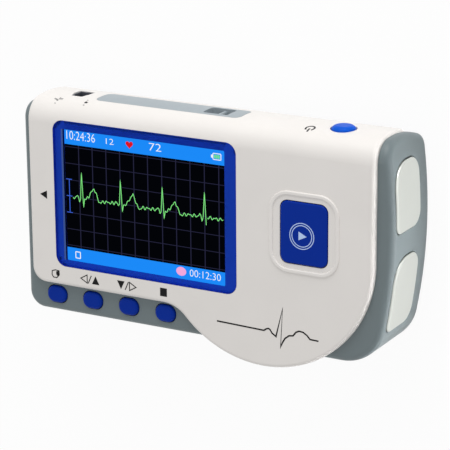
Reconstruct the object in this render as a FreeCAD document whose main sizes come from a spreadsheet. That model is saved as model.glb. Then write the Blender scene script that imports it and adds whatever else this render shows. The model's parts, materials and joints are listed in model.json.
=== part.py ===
"""Handheld heart-rhythm monitor, lying on its back.

The origin is under the middle of the object, on the plane it lies on. +Z comes out of the
display, +Y goes to the side with the power key and +X to the end with two electrodes.
All lengths are millimetres and come from the sheet "Sizes".
"""
import FreeCAD, Part

import math
import os

import Sketcher
from FreeCAD import Vector

doc = FreeCAD.newDocument("heart_monitor")

# ---------------------------------------------------------------- driving dimensions
DIMENSIONS = [
    # the case as a whole
    ("case_length", 118.7, "end to end, without the electrodes"),
    ("case_height", 69.6, "top side to the lowest point of the round lobe"),
    ("front_room", 7.2, "front face above the board"),
    ("case_wall", 1.8, "wall of the grey shells"),
    ("case_corner", 5.0, "plan radius at the lower left corner of the grey shells"),
    ("case_edge", 1.9, "rounding round the grey shells"),
    ("seam_level", 7.4, "height of the seam round the rear cover"),
    ("cap_seam", 26.0, "length of the right end cap"),
    ("cap_crown", 150.0, "radius of the crowned end face"),
    ("crown_drop", 25.7, "top side down to the highest point of the crowned end face"),
    ("cap_corner", 13.0, "plan radius at the lower right corner"),
    ("cap_sink", 0.7, "end cap below the front cover on the top side"),
    # the lobe and the white front cover
    ("lobe_radius", 34.4, "radius of the round lobe of the front cover"),
    ("lobe_overhang", 4.9, "lobe below the straight lower side of the grey shells"),
    ("lobe_reveal", 1.0, "grey lobe inside the white one"),
    ("crook_radius", 10.0, "hollow corner between the straight edge and the lobe"),
    ("cover_step", 2.0, "front cover above the grey front surface"),
    ("cover_wall", 1.8, "wall of the front cover along the top side"),
    ("cover_gap", 0.1, "clearance between the front cover and the shells under it"),
    ("cover_left", 2.8, "grey end seen beyond the front cover on the left"),
    ("cover_right", 4.75, "grey cap seen beyond the front cover on the right"),
    ("cover_corner", 4.5, "plan radius at the lower left corner of the front cover"),
    ("cover_edge", 1.2, "rounding round the front cover"),
    ("strip_height", 8.95, "grey key strip below the front cover"),
    ("roll_radius", 6.5, "roll from the front face to the top side"),
    ("top_crown", 40.0, "radius of the crowned top side"),
    ("crown_level", 15.2, "height of the highest line of the crowned top side"),
    ("back_roll", 4.0, "roll from the top side to the back"),
    ("shelf_width", 2.4, "grey shelf under the edge of the front cover"),
    # display
    ("window_width", 60.1, "clear window"),
    ("window_foot", 6.1, "window above the straight lower edge of the front cover"),
    ("window_corner", 3.2, "plan radius of the window"),
    ("window_inset", 8.8, "window from the left edge of the front cover"),
    ("window_drop", 5.75, "window from the top side"),
    ("window_thick", 1.0, "clear window"),
    ("window_ledge", 1.0, "width of the ledge under the window"),
    ("mask_thick", 0.2, "blue printed border behind the window"),
    ("border_left", 3.15, "border left of the clear area"),
    ("border_right", 4.1, "border right of the clear area"),
    ("border_top", 2.7, "border above the clear area"),
    ("border_foot", 1.7, "border below the clear area"),
    ("mask_corner", 0.5, "plan radius of the clear area and of the ledge"),
    ("panel_side", 1.4, "liquid crystal panel behind the border, left and right"),
    ("panel_end", 0.4, "liquid crystal panel behind the border, above and below"),
    ("panel_thick", 2.2, "liquid crystal panel"),
    ("holder_wall", 1.0, "rim and floor of the panel holder"),
    ("holder_rim", 1.3, "rim of the panel holder above its floor"),
    ("holder_foot", 1.5, "radius of the holder's feet"),
    ("foot_inset", 5.0, "middle of the holder's feet from the edges of the panel"),
    ("fit_gap", 0.1, "side clearance of pieces that are bonded or clipped in"),
    # start key
    ("start_width", 14.4, "start key"),
    ("start_height", 17.8, "start key"),
    ("start_corner", 2.2, "plan radius of the start key"),
    ("start_inset", 21.05, "middle of the start key from the right edge of the front cover"),
    ("start_drop", 28.6, "middle of the start key from the top side"),
    ("start_proud", 0.4, "start key above the front cover"),
    ("start_soft", 0.5, "rounded edge of the start key"),
    ("bead_width", 21.6, "raised bead round the start key"),
    ("bead_height", 23.5, "raised bead round the start key"),
    ("bead_corner", 6.0, "outer plan radius of the bead"),
    ("bead_band", 1.2, "width of the bead"),
    ("bead_rise", 0.4, "height of the bead"),
    # menu keys
    ("menu_width", 6.5, "menu key"),
    ("menu_height", 5.1, "menu key"),
    ("menu_corner", 2.4, "plan radius of a menu key"),
    ("menu_inset", 10.35, "middle of the first menu key from the left end"),
    ("menu_clear", 4.6, "middle of the last menu key before the round lobe"),
    ("menu_rise", 5.3, "middle of the menu keys above the straight lower side"),
    ("menu_proud", 1.0, "menu keys above the strip"),
    ("menu_soft", 0.9, "rounded edge of a menu key"),
    ("menu_flange", 0.6, "flange that keeps a menu key in, beyond its outline"),
    # every key
    ("key_gap", 0.25, "clearance round a key"),
    ("key_travel", 0.5, "travel of a key"),
    ("key_flange", 1.0, "flange that keeps the start or power key in, beyond its outline"),
    ("flange_thick", 1.2, "thickness of that flange"),
    ("flange_gap", 0.15, "flange below the wall that stops it"),
    ("press_gap", 0.1, "left under a key that is pressed down"),
    ("plunger_radius", 1.6, "plunger under a key, and the nub it presses"),
    # power key
    ("power_radius", 3.5, "power key"),
    ("power_proud", 0.9, "power key above the top side"),
    ("power_inset", 18.5, "middle of the power key from the right end"),
    ("power_sink", 1.0, "middle of the power key below the board"),
    ("power_soft", 1.5, "rounded edge of the power key"),
    ("power_plunger", 0.8, "plunger of the power key"),
    ("power_stop", 1.2, "flange of the power key below the highest line of the wall that stops it"),
    # top side: strip, eyelet and socket
    ("strip_length", 47.2, "light grey strip in the top side"),
    ("strip_width", 8.7, "light grey strip in the top side"),
    ("strip_inset", 4.4, "strip from the mouth of the cable socket"),
    ("strip_level", 15.2, "middle line of the strip above the back"),
    ("strip_thick", 1.1, "light grey strip in the top side"),
    ("strip_corner", 2.0, "plan radius of the strip"),
    ("eyelet_length", 7.9, "pocket for a lanyard"),
    ("eyelet_width", 6.0, "pocket for a lanyard"),
    ("eyelet_depth", 3.4, "pocket for a lanyard"),
    ("eyelet_inset", 4.3, "pocket from the right end of the strip"),
    ("eyelet_wall", 0.8, "wall of the pocket"),
    ("eyelet_corner", 0.8, "plan radius of the pocket"),
    ("bar_drop", 1.3, "middle of the lanyard bar below the top side"),
    ("lanyard_radius", 0.6, "bar across the pocket"),
    ("socket_inset", 15.05, "middle of the cable socket from the left end"),
    ("socket_wide", 4.9, "mouth of the cable socket, wide side"),
    ("socket_narrow", 3.3, "mouth of the cable socket, narrow side"),
    ("socket_tall", 6.0, "mouth of the cable socket"),
    ("socket_shoulder", 3.6, "straight stretch of the mouth's sides, from its wide side"),
    ("socket_wall", 0.5, "wall of the cable socket"),
    ("socket_floor", 1.0, "floor of the cable socket"),
    ("tongue_wide", 2.6, "contact tongue in the cable socket"),
    ("tongue_thick", 1.0, "contact tongue in the cable socket"),
    ("tongue_sink", 1.5, "contact tongue below the mouth"),
    ("socket_depth", 8.0, "depth of the cable socket"),
    ("socket_sink", 0.3, "mouth of the cable socket below the top side"),
    # electrodes
    ("electrode_high", 19.5, "length of the upper electrode along the end face"),
    ("lower_high", 20.9, "length of the lower electrode along the end face"),
    ("electrode_wide", 14.8, "width of an electrode across the end face"),
    ("electrode_level", 14.6, "middle of the electrodes above the back"),
    ("electrode_big", 7.5, "corner radius of an electrode, top and front"),
    ("electrode_back", 4.5, "corner radii of an electrode on its back side"),
    ("electrode_small", 2.2, "corner radius of an electrode, bottom and front"),
    ("electrode_proud", 0.6, "electrode above the end face"),
    ("electrode_seat", 0.8, "depth of an electrode's seat"),
    ("electrode_gap", 0.25, "clearance round an electrode"),
    ("electrode_soft", 0.55, "rounded edge of an electrode"),
    ("upper_drop", 7.2, "top side down to the upper electrode"),
    ("lower_drop", 34.1, "top side down to the lower electrode"),
    ("stud_radius", 1.5, "stud that fastens an electrode through the wall"),
    ("stud_reach", 1.6, "stud inside the wall"),
    ("spring_thick", 0.3, "contact spring against a stud"),
    ("spring_wide", 4.0, "contact spring against a stud"),
    ("spring_foot", 6.5, "foot of a contact spring on the board"),
    ("left_high", 28.0, "length of the left electrode along the end"),
    # circuit board and what is on it
    ("board_clear", 3.5, "board above the battery bay"),
    ("board_thick", 1.2, "board"),
    ("board_margin", 0.9, "board to the inside of the walls"),
    ("board_left", 2.9, "board to the inside of the left wall"),
    ("power_notch", 5.3, "edge of the board's notch left of the power key's middle"),
    ("board_corner", 3.0, "plan radius of the board"),
    ("dome_radius", 2.2, "foot of the rubber dome under a menu key"),
    ("dome_top", 1.3, "top radius of that dome"),
    ("mat_thick", 0.6, "rubber mat under the menu keys"),
    ("mat_margin", 2.0, "rubber mat beyond the menu keys, left and right"),
    ("mat_rim", 0.2, "rubber mat beyond the domes, above and below"),
    ("switch_size", 6.0, "push switch on the board"),
    ("switch_tall", 2.6, "body of the side switch"),
    ("switch_thin", 0.5, "body of the switch under the start key"),
    ("nub_rise", 0.4, "nub of a switch"),
    ("nub_radius", 0.9, "nub of the side switch"),
    ("chip_side", 10.0, "processor on the board"),
    ("chip_length", 8.0, "memory and amplifier on the board"),
    ("chip_width", 5.0, "memory and amplifier on the board"),
    ("chip_thick", 1.0, "every chip on the board"),
    ("chip_shift", 10.0, "processor and memory beside the middle of the start key"),
    ("amplifier_shift", 30.0, "amplifier beside the middle of the window"),
    ("amplifier_rise", 4.0, "amplifier above the middle of the menu keys"),
    # screws and their pillars
    ("pillar_radius", 2.2, "pillars under the front cover"),
    ("pillar_side", 3.4, "pillar from the left and right edges of the window"),
    ("pillar_high", 8.6, "upper row of pillars below the top side"),
    ("cap_pillar", 6.8, "pillars in the end cap beyond the middle of the power key"),
    ("cap_pillar_low", 4.95, "lower pillar in the end cap above the middle of the lower electrode"),
    ("boss_radius", 3.2, "bosses of the rear shells"),
    ("screw_radius", 1.0, "shank of a screw"),
    ("screw_fit", 0.03, "clearance of a shank in its pillar"),
    ("screw_slack", 0.25, "clearance of a shank in a shell or board"),
    ("head_radius", 1.9, "head of a screw"),
    ("head_thick", 1.2, "head of a screw"),
    ("head_sink", 0.5, "head below the back"),
    ("cross_reach", 1.15, "half the length of a cross recess"),
    ("cross_wide", 0.48, "width of a cross recess"),
    ("screw_bite", 5.0, "shank in its pillar"),
    ("bore_tip", 1.0, "bore of a pillar beyond its shank"),
    # batteries and their door
    ("cell_length", 44.5, "battery cell"),
    ("cell_radius", 5.25, "battery cell"),
    ("cell_gap", 0.5, "clearance between the cells and round them"),
    ("cell_nub", 1.9, "radius of the raised terminal"),
    ("nub_tall", 1.0, "raised terminal"),
    ("bay_inset", 5.0, "battery bay from the left end"),
    ("bay_drop", 17.5, "battery bay from the top side"),
    ("bay_wall", 1.0, "wall of the battery bay"),
    ("bay_spring", 4.0, "room for a battery spring"),
    ("bay_plate", 0.4, "flat battery contact"),
    ("contact_wide", 7.0, "battery contacts and springs"),
    ("spring_tip", 1.2, "tip of a battery spring"),
    ("door_gap", 0.15, "clearance round the battery door"),
    ("rail_size", 0.8, "rails along the door"),
    ("grip_count", 5.0, "finger grooves in the door"),
    ("grip_inset", 3.2, "first finger groove from the left end of the battery bay"),
    ("grip_pitch", 1.6, "finger groove to finger groove"),
    ("grip_wide", 0.8, "finger grooves in the door"),
    ("grip_length", 11.0, "finger grooves in the door"),
    ("grip_depth", 0.5, "finger grooves in the door"),
]


class Size:
    """A length with its value and the sheet formula that gives it."""

    def __init__(self, value, formula):
        self.value = float(value)
        self.formula = formula

    @staticmethod
    def of(other):
        return other if isinstance(other, Size) else Size(other, repr(float(other)))

    def _join(self, sign, other, value):
        return Size(value, f"({self.formula} {sign} {other.formula})")

    def __add__(self, other):
        other = Size.of(other)
        return self._join("+", other, self.value + other.value)

    def __sub__(self, other):
        other = Size.of(other)
        return self._join("-", other, self.value - other.value)

    def __mul__(self, other):
        other = Size.of(other)
        return self._join("*", other, self.value * other.value)

    def __truediv__(self, other):
        other = Size.of(other)
        return self._join("/", other, self.value / other.value)

    def __radd__(self, other):
        return Size.of(other) + self

    def __rsub__(self, other):
        return Size.of(other) - self

    def __rmul__(self, other):
        return Size.of(other) * self

    def __neg__(self):
        return Size(-self.value, f"(0 - {self.formula})")

    def __float__(self):
        return self.value


def root(size):
    """The square root of a size."""
    return Size(math.sqrt(size.value), f"sqrt({size.formula})")


class Sheet:
    """The spreadsheet, and its cells as sizes."""

    def __init__(self, rows):
        sheet = doc.addObject("Spreadsheet::Sheet", "Sizes")
        for row, (alias, number, note) in enumerate(rows, start=1):
            sheet.set(f"A{row}", note)
            sheet.set(f"B{row}", str(number))
            sheet.setAlias(f"B{row}", alias)
        doc.recompute()
        for alias, _, _ in rows:
            setattr(self, alias, Size(sheet.get(alias), f"Sizes.{alias}"))


S = Sheet(DIMENSIONS)


def tie(item, prop, size):
    """Bind a property to the sheet."""
    item.setExpression(prop, Size.of(size).formula)


# ---------------------------------------------------------------- sketches
PLANES = {"Z": "XY_Plane", "Y": "XZ_Plane", "X": "YZ_Plane"}


def new_sketch(body, axis, low):
    """A sketch square to an axis, at the height low along it."""
    plane = next(item for item in body.Origin.OriginFeatures if item.Role == PLANES[axis])
    sketch = body.newObject("Sketcher::SketchObject", body.Name + "_outline")
    sketch.AttachmentSupport = (plane, [""])
    sketch.MapMode = "FlatFace"
    low = Size.of(low)
    tie(sketch, "AttachmentOffset.Base.z", -low if axis == "Y" else low)
    return sketch


def pin(sketch, edge, end, x, y):
    """Hold one end of a sketch edge at a place from the sheet."""
    for kind, size in (("DistanceX", Size.of(x)), ("DistanceY", Size.of(y))):
        index = sketch.addConstraint(Sketcher.Constraint(kind, edge, end, size.value))
        sketch.setExpression(f"Constraints[{index}]", size.formula)


def draw_loop(sketch, corners):
    """A closed line through the corners, each (x, y) or (x, y, radius).

    A radius bends the edge that leaves the corner: to the left where it is positive.
    """
    edges = []
    for (x, y, *bend), (next_x, next_y, *_) in zip(corners, corners[1:] + corners[:1]):
        start = Vector(float(x), float(y), 0)
        end = Vector(float(next_x), float(next_y), 0)
        if not bend:
            edge = sketch.addGeometry(Part.LineSegment(start, end))
            edges.append((edge, 1, 2))
            continue
        left_turn = float(bend[0]) > 0
        radius = bend[0] if left_turn else -bend[0]
        if not left_turn:
            start, end = end, start
        half = (end - start) * 0.5
        depth = math.sqrt(max(float(radius) ** 2 - half.Length ** 2, 0.0))
        side = Vector(-half.y, half.x, 0).normalize()
        centre = start + half + side * depth
        first = math.atan2(start.y - centre.y, start.x - centre.x)
        last = math.atan2(end.y - centre.y, end.x - centre.x)
        circle = Part.Circle(centre, Vector(0, 0, 1), float(radius))
        edge = sketch.addGeometry(Part.ArcOfCircle(circle, first, last))
        index = sketch.addConstraint(Sketcher.Constraint("Radius", edge, float(radius)))
        sketch.setExpression(f"Constraints[{index}]", Size.of(radius).formula)
        edges.append((edge, 1, 2) if left_turn else (edge, 2, 1))
    for (edge, _, end), (following, start, _) in zip(edges, edges[1:] + edges[:1]):
        sketch.addConstraint(Sketcher.Constraint("Coincident", edge, end, following, start))
    for (edge, start, _), (x, y, *_) in zip(edges, corners):
        pin(sketch, edge, start, x, y)


def rounded(x0, y0, x1, y1, *radii):
    """Corners of a rectangle: one radius for all, or lower left, lower right, upper right, upper left."""
    a, b, c, d = radii * 4 if len(radii) == 1 else radii
    return [(x0 + a, y0), (x1 - b, y0, b), (x1, y0 + b), (x1, y1 - c, c),
            (x1 - c, y1), (x0 + d, y1, d), (x0, y1 - d), (x0, y0 + a, a)]


def around(x, y, width, height, radius, grow=0.0):
    """Corners of a rounded rectangle round a middle point, grown on every side."""
    half_x = width / 2 + grow
    half_y = height / 2 + grow
    return rounded(x - half_x, y - half_y, x + half_x, y + half_y, radius + grow)


# ---------------------------------------------------------------- solids
def prism(name, axis, low, high, corners):
    """A closed outline extended along an axis from low to high."""
    body = doc.addObject("PartDesign::Body", name)
    low = Size.of(low)
    high = Size.of(high)
    sketch = new_sketch(body, axis, low)
    draw_loop(sketch, corners)
    pad = body.newObject("PartDesign::Pad", name + "_pad")
    pad.Profile = (sketch, [""])
    tie(pad, "Length", high - low)
    pad.Reversed = axis == "Y"
    body.Tip = pad
    return body


def block(name, x0, x1, y0, y1, z0, z1):
    """A box between two corners."""
    box = doc.addObject("Part::Box", name)
    for prop, low, high in (("Length", x0, x1), ("Width", y0, y1), ("Height", z0, z1)):
        tie(box, prop, Size.of(high) - low)
    for letter, low in (("x", x0), ("y", y0), ("z", z0)):
        tie(box, f"Placement.Base.{letter}", low)
    return box


TURNS = {"Z": None, "X": Vector(0, 1, 0), "Y": Vector(-1, 0, 0)}


def rod(name, axis, x, y, z, radius, length):
    """A round rod that starts at a point and runs along an axis."""
    cylinder = doc.addObject("Part::Cylinder", name)
    if TURNS[axis]:
        cylinder.Placement.Rotation = FreeCAD.Rotation(TURNS[axis], 90)
    tie(cylinder, "Radius", radius)
    tie(cylinder, "Height", length)
    for letter, place in (("x", x), ("y", y), ("z", z)):
        tie(cylinder, f"Placement.Base.{letter}", place)
    return cylinder


def join(name, *shapes):
    """Several solids fused into one."""
    fusion = doc.addObject("Part::MultiFuse", name)
    fusion.Shapes = list(shapes)
    fusion.Refine = True
    return fusion


def overlap(name, *shapes):
    """What several solids share."""
    common = doc.addObject("Part::MultiCommon", name)
    common.Shapes = list(shapes)
    return common


def cut(name, base, *tools):
    """The base without the tools."""
    difference = doc.addObject("Part::Cut", name)
    difference.Base = base
    difference.Tool = tools[0] if len(tools) == 1 else join(name + "_tools", *tools)
    return difference


def group(name, *solids):
    """Like solids that share one node."""
    compound = doc.addObject("Part::Compound", name)
    compound.Links = list(solids)
    return compound


def soften(name, base, radius, chosen):
    """Round the edges of a solid that the test picks."""
    doc.recompute()
    body = doc.addObject("PartDesign::Body", name)
    body.BaseFeature = base
    doc.recompute()
    feature = body.Group[0]
    picked = [f"Edge{index}" for index, edge in enumerate(feature.Shape.Edges, start=1) if chosen(edge)]
    fillet = body.newObject("PartDesign::Fillet", name + "_round")
    fillet.Base = (feature, picked)
    tie(fillet, "Radius", radius)
    body.Tip = fillet
    return body


NEAR = 1e-4          # how far apart two places may be and still count as one
OVER = 1.0           # how far a cutting tool reaches past the face that it opens
SAMPLES = 9          # points that an edge is looked at


def extent(edge):
    """Lowest and highest X, Y and Z along an edge."""
    points = edge.discretize(SAMPLES)
    return [(min(line), max(line)) for line in zip(*[(point.x, point.y, point.z) for point in points])]


def flat_at(axis, size):
    """Picks the edges that lie in a plane square to an axis."""
    def test(edge):
        low, high = extent(edge)["XYZ".index(axis)]
        return abs(low - float(size)) < NEAR and abs(high - float(size)) < NEAR
    return test


parts = {}


def keep(name, shape):
    """Take a finished shape as a piece of the object."""
    shape.Label = name
    parts[name] = shape
    return shape


# ---------------------------------------------------------------- shared places
left = -S.case_length / 2
right = S.case_length / 2
bottom = -(S.case_height + S.power_proud) / 2
top = bottom + S.case_height
bay_roof = S.case_wall + S.cell_gap * 2 + S.cell_radius * 2
board_low = bay_roof + S.bay_wall + S.board_clear
board_top = board_low + S.board_thick
front = board_top + S.front_room
grey_front = front - S.cover_step
grey_bottom = bottom + S.lobe_overhang
cover_x0 = left + S.cover_left
cover_x1 = right - S.cover_right
cover_bottom = grey_bottom + S.strip_height
lobe_x = cover_x1 - S.lobe_radius
lobe_y = bottom + S.lobe_radius
seam_x = right - S.cap_seam
window_height = top - S.window_drop - S.window_foot - cover_bottom
window_x = cover_x0 + S.window_inset + S.window_width / 2
window_y = top - S.window_drop - window_height / 2
start_x = cover_x1 - S.start_inset
start_y = top - S.start_drop
upper_y = top - S.upper_drop - S.electrode_high / 2
lower_y = top - S.lower_drop - S.lower_high / 2
rim_low = cover_bottom + S.shelf_width
crown_x = right - S.cap_crown
crown_y = top - S.crown_drop
cap_inner = S.cap_crown - S.cap_corner
cap_y = grey_bottom + S.cap_corner
cap_x = crown_x + root(cap_inner * cap_inner - (cap_y - crown_y) * (cap_y - crown_y))


# ---------------------------------------------------------------- outer forms
def side_profile(name, inset, front_level, back_level, back_round=None):
    """A bar along X with the section of the case: flat front, roll, crowned top side."""
    crown = S.top_crown - inset
    axis_y = top - S.top_crown
    roll = S.roll_radius - inset
    roll_z = front_level - roll
    rise = roll_z - S.crown_level
    roll_y = axis_y + root((crown - roll) * (crown - roll) - rise * rise)
    meet_y = axis_y + (roll_y - axis_y) * crown / (crown - roll)
    meet_z = S.crown_level + rise * crown / (crown - roll)
    low = bottom - S.case_wall
    if back_round is None:
        drop = S.crown_level - back_level
        end_y = axis_y + root(crown * crown - drop * drop)
        lower = [(low, back_level), (end_y, back_level, crown)]
    else:
        back_z = back_level + back_round
        drop = S.crown_level - back_z
        inner = crown - back_round
        back_y = axis_y + root(inner * inner - drop * drop)
        end_y = axis_y + (back_y - axis_y) * crown / inner
        end_z = S.crown_level - drop * crown / inner
        lower = [(low, back_level), (back_y, back_level, back_round), (end_y, end_z, crown)]
    corners = lower + [(meet_y, meet_z, roll), (roll_y, front_level), (low, front_level)]
    return prism(name, "X", left - S.case_wall, right + S.case_wall, corners)


def lobed(name, plate, side_y, radius, low, high):
    """Adds the round lobe to a plate and rounds the hollow corners beside it."""
    lobe = rod(name + "_lobe", "Z", lobe_x, lobe_y, low, radius, high - low)
    whole = join(name + "_plan", plate, lobe)

    def hollow(edge):
        """The upright edges where the straight side meets the lobe."""
        (x0, x1), (y0, y1), (z0, z1) = extent(edge)
        upright = x1 - x0 < NEAR and y1 - y0 < NEAR
        on_side = abs(y0 - float(side_y)) < NEAR
        on_lobe = abs(math.hypot(x0 - float(lobe_x), y0 - float(lobe_y)) - float(radius)) < NEAR
        return upright and on_side and on_lobe

    return soften(name, whole, S.crook_radius, hollow)


def grey_block(name, inset, low, high):
    """The plan of the grey shells as a plate, moved inwards by an inset."""
    corner = S.case_corner - inset
    cap = S.cap_corner - inset
    crown = S.cap_crown - inset
    x0 = left + inset
    y0 = grey_bottom + inset
    y1 = top + S.case_wall
    end_x = crown_x + root(crown * crown - (y1 - crown_y) * (y1 - crown_y))
    plate = prism(name + "_plate", "Z", low, high, [
        (x0 + corner, y0),
        (cap_x, y0, cap),
        (crown_x + (cap_x - crown_x) * crown / cap_inner, crown_y + (cap_y - crown_y) * crown / cap_inner,
         crown),
        (end_x, y1),
        (x0, y1),
        (x0, y0 + corner, corner),
    ])
    return lobed(name, plate, y0, S.lobe_radius - S.lobe_reveal - inset, low, high)


def make_grey_shell():
    """The closed grey shell, before it is parted into three pieces."""
    tuck = S.cover_wall + S.cover_gap

    def rim(edge):
        """Every edge except the upright ones and those along the top side."""
        (x0, x1), (y0, y1), (z0, z1) = extent(edge)
        along = y1 - y0 < NEAR and z1 - z0 < NEAR and y1 > float(lobe_y)
        upright = x1 - x0 < NEAR and y1 - y0 < NEAR
        return not along and not upright

    def outer_form(name, inset):
        """The outside of the shell with its top side moved inwards by an inset."""
        section = side_profile(name + "_section", inset, grey_front, Size.of(0), S.back_roll)
        plan = grey_block(name + "_plan", Size.of(0), Size.of(0), grey_front)
        return soften(name, overlap(name + "_outer", plan, section), S.case_edge, rim)

    beyond = S.case_wall
    cap_part = block("collar_part", cover_x1 + S.cover_gap, right + beyond, bottom - beyond, top + beyond,
                     Size.of(0), grey_front)
    collar = overlap("shell_collar", outer_form("cap_form", S.cap_sink), cap_part)
    rounded_outer = join("shell_rounded", outer_form("tucked_form", tuck), collar)
    hollow_section = side_profile("hollow_section", tuck + S.case_wall, grey_front - S.case_wall, S.case_wall,
                                  S.back_roll - S.case_wall)
    hollow_plan = grey_block("hollow_plan", S.case_wall, S.case_wall, grey_front - S.case_wall)
    hollow = overlap("shell_hollow", hollow_plan, hollow_section)
    shell = cut("shell_closed", rounded_outer, hollow)
    rim_radius = S.lobe_radius - S.shelf_width
    rim_end = lobe_x + root(rim_radius * rim_radius - (lobe_y - rim_low) * (lobe_y - rim_low))
    opening = prism("shell_opening", "Z", grey_front - S.case_wall - OVER, front, [
        (cover_x0 + S.shelf_width, rim_low),
        (rim_end, rim_low, rim_radius),
        (lobe_x + rim_radius, lobe_y),
        (lobe_x + rim_radius, top - S.window_drop),
        (cover_x0 + S.shelf_width, top - S.window_drop),
    ])
    return cut("grey_shell", shell, opening), rounded_outer


shell, shell_solid = make_grey_shell()
top_section = side_profile("top_section", Size.of(0), front, S.seam_level)


def slice_of(name, x0, x1, z0, z1):
    """One of the three grey shells, cut from the closed one."""
    beyond = S.case_wall
    return overlap(name, shell, block(name + "_part", x0, x1, bottom - beyond, top + beyond, z0, z1))


# ---------------------------------------------------------------- places of keys and batteries
MENU_KEYS = 4

menu_y = grey_bottom + S.menu_rise
menu_first = left + S.menu_inset
strip_end = lobe_x - root(S.lobe_radius * S.lobe_radius - (lobe_y - cover_bottom) * (lobe_y - cover_bottom))
menu_pitch = (strip_end - S.menu_clear - menu_first) / (MENU_KEYS - 1)
menu_xs = [menu_first + menu_pitch * step for step in range(MENU_KEYS)]
power_x = right - S.power_inset
power_z = board_low - S.power_sink
bay_x0 = left + S.bay_inset
bay_x1 = bay_x0 + S.bay_spring + S.cell_length + S.bay_plate
bay_y1 = top - S.bay_drop
bay_y0 = bay_y1 - S.cell_radius * 4 - S.cell_gap * 3


# ---------------------------------------------------------------- pillars and screws
pillar_left = window_x - S.window_width / 2 - S.pillar_side
pillar_mid = window_x + S.window_width / 2 + S.pillar_side
pillar_right = power_x + S.cap_pillar
row_low = (bay_y0 - S.bay_wall + rim_low) / 2
row_high = top - S.pillar_high
board_row = (bay_y1 + S.bay_wall + row_high - S.pillar_radius) / 2
cover_posts = [
    (pillar_left, row_low), (pillar_left, row_high), (pillar_mid, row_low), (pillar_mid, row_high),
    (pillar_right, lower_y + S.cap_pillar_low), (pillar_right, row_high),
]
board_posts = [(pillar_left, board_row), (pillar_mid, board_row), (pillar_right, window_y)]
shell_posts = cover_posts[:4]
cap_posts = cover_posts[4:]
head_top = S.head_sink + S.head_thick


def rods(name, places, low, high, radius):
    """Upright rods at several places."""
    return [rod(f"{name}_{index}", "Z", x, y, low, radius, high - low)
            for index, (x, y) in enumerate(places, start=1)]


def boss_pieces(name, places):
    """Bosses of a rear shell and the bores that its screws go through."""
    bosses = rods(name + "_boss", places, Size.of(0), S.seam_level, S.boss_radius)
    sinks = rods(name + "_sink", places, Size.of(-OVER), head_top, S.head_radius + S.screw_slack)
    bores = rods(name + "_bore", places, Size.of(0), S.seam_level + OVER, S.screw_radius + S.screw_slack)
    return bosses, sinks + bores


def screw(name, x, y, head_low, shank_high):
    """A pan-head screw with a cross recess, its head down."""
    seat = head_low + S.head_thick
    head = rod(name + "_head", "Z", x, y, head_low, S.head_radius, S.head_thick)
    shank = rod(name + "_shank", "Z", x, y, seat, S.screw_radius, shank_high - seat)
    arm = S.cross_reach
    slot = S.cross_wide / 2
    deep = head_low + S.head_thick / 2
    cross = [
        block(name + "_slot_x", x - arm, x + arm, y - slot, y + slot, head_low - OVER, deep),
        block(name + "_slot_y", x - slot, x + slot, y - arm, y + arm, head_low - OVER, deep),
    ]
    return cut(name, join(name + "_blank", head, shank), *cross)


def make_screws():
    """The screws that go in from the back, and those that hold the board."""
    rear = [screw(f"rear_screw_{index}", x, y, S.head_sink, S.seam_level + S.screw_bite)
            for index, (x, y) in enumerate(cover_posts, start=1)]
    keep("rear_screws", group("rear_screws", *rear))
    inner = [screw(f"board_screw_{index}", x, y, board_low - S.head_thick, board_top + S.screw_bite)
             for index, (x, y) in enumerate(board_posts, start=1)]
    keep("board_screws", group("board_screws", *inner))


# ---------------------------------------------------------------- keys
wall_inside = top - S.cover_wall - S.cover_gap - S.case_wall
power_flange_y = wall_inside - S.power_stop - S.flange_thick
switch_low = power_flange_y - S.power_plunger


def plan_key(name, x, y, width, height, corner, top_level, stop_level, soft, lip):
    """A key with a flange under the wall that stops it."""
    flange_top = stop_level - S.flange_gap
    flange_low = flange_top - S.flange_thick
    cap = prism(name + "_cap", "Z", flange_low, top_level, around(x, y, width, height, corner))
    smooth = soften(name + "_smooth", cap, soft, flat_at("Z", top_level))
    flange = prism(name + "_flange", "Z", flange_low, flange_top,
                   around(x, y, width, height, corner, lip))
    return smooth, flange, flange_low


def make_keys():
    """The four menu keys, the start key and the power key."""
    menu_stop = grey_front - S.case_wall
    for number, x in enumerate(menu_xs, start=1):
        name = f"menu_key_{number}"
        cap, flange, _ = plan_key(name, x, menu_y, S.menu_width, S.menu_height, S.menu_corner,
                                  grey_front + S.menu_proud, menu_stop, S.menu_soft, S.menu_flange)
        keep(name, join(name, cap, flange))
    cap, flange, flange_low = plan_key("start_key", start_x, start_y, S.start_width, S.start_height,
                                       S.start_corner, front + S.start_proud, grey_front, S.start_soft,
                                       S.key_flange)
    plunger_low = board_top + S.switch_thin + S.nub_rise + S.press_gap + S.key_travel
    plunger = rod("start_key_plunger", "Z", start_x, start_y, plunger_low, S.plunger_radius,
                  flange_low - plunger_low)
    keep("start_key", join("start_key", cap, flange, plunger))

    stem = rod("power_key_stem", "Y", power_x, power_flange_y, power_z, S.power_radius,
               top + S.power_proud - power_flange_y)
    flange = rod("power_key_flange", "Y", power_x, power_flange_y, power_z,
                 S.power_radius + S.key_flange, S.flange_thick)
    pusher = rod("power_key_plunger", "Y", power_x, switch_low, power_z, S.plunger_radius,
                 S.power_plunger)
    blank = join("power_key_blank", stem, flange, pusher)
    keep("power_key", soften("power_key", blank, S.power_soft, flat_at("Y", top + S.power_proud)))


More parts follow.
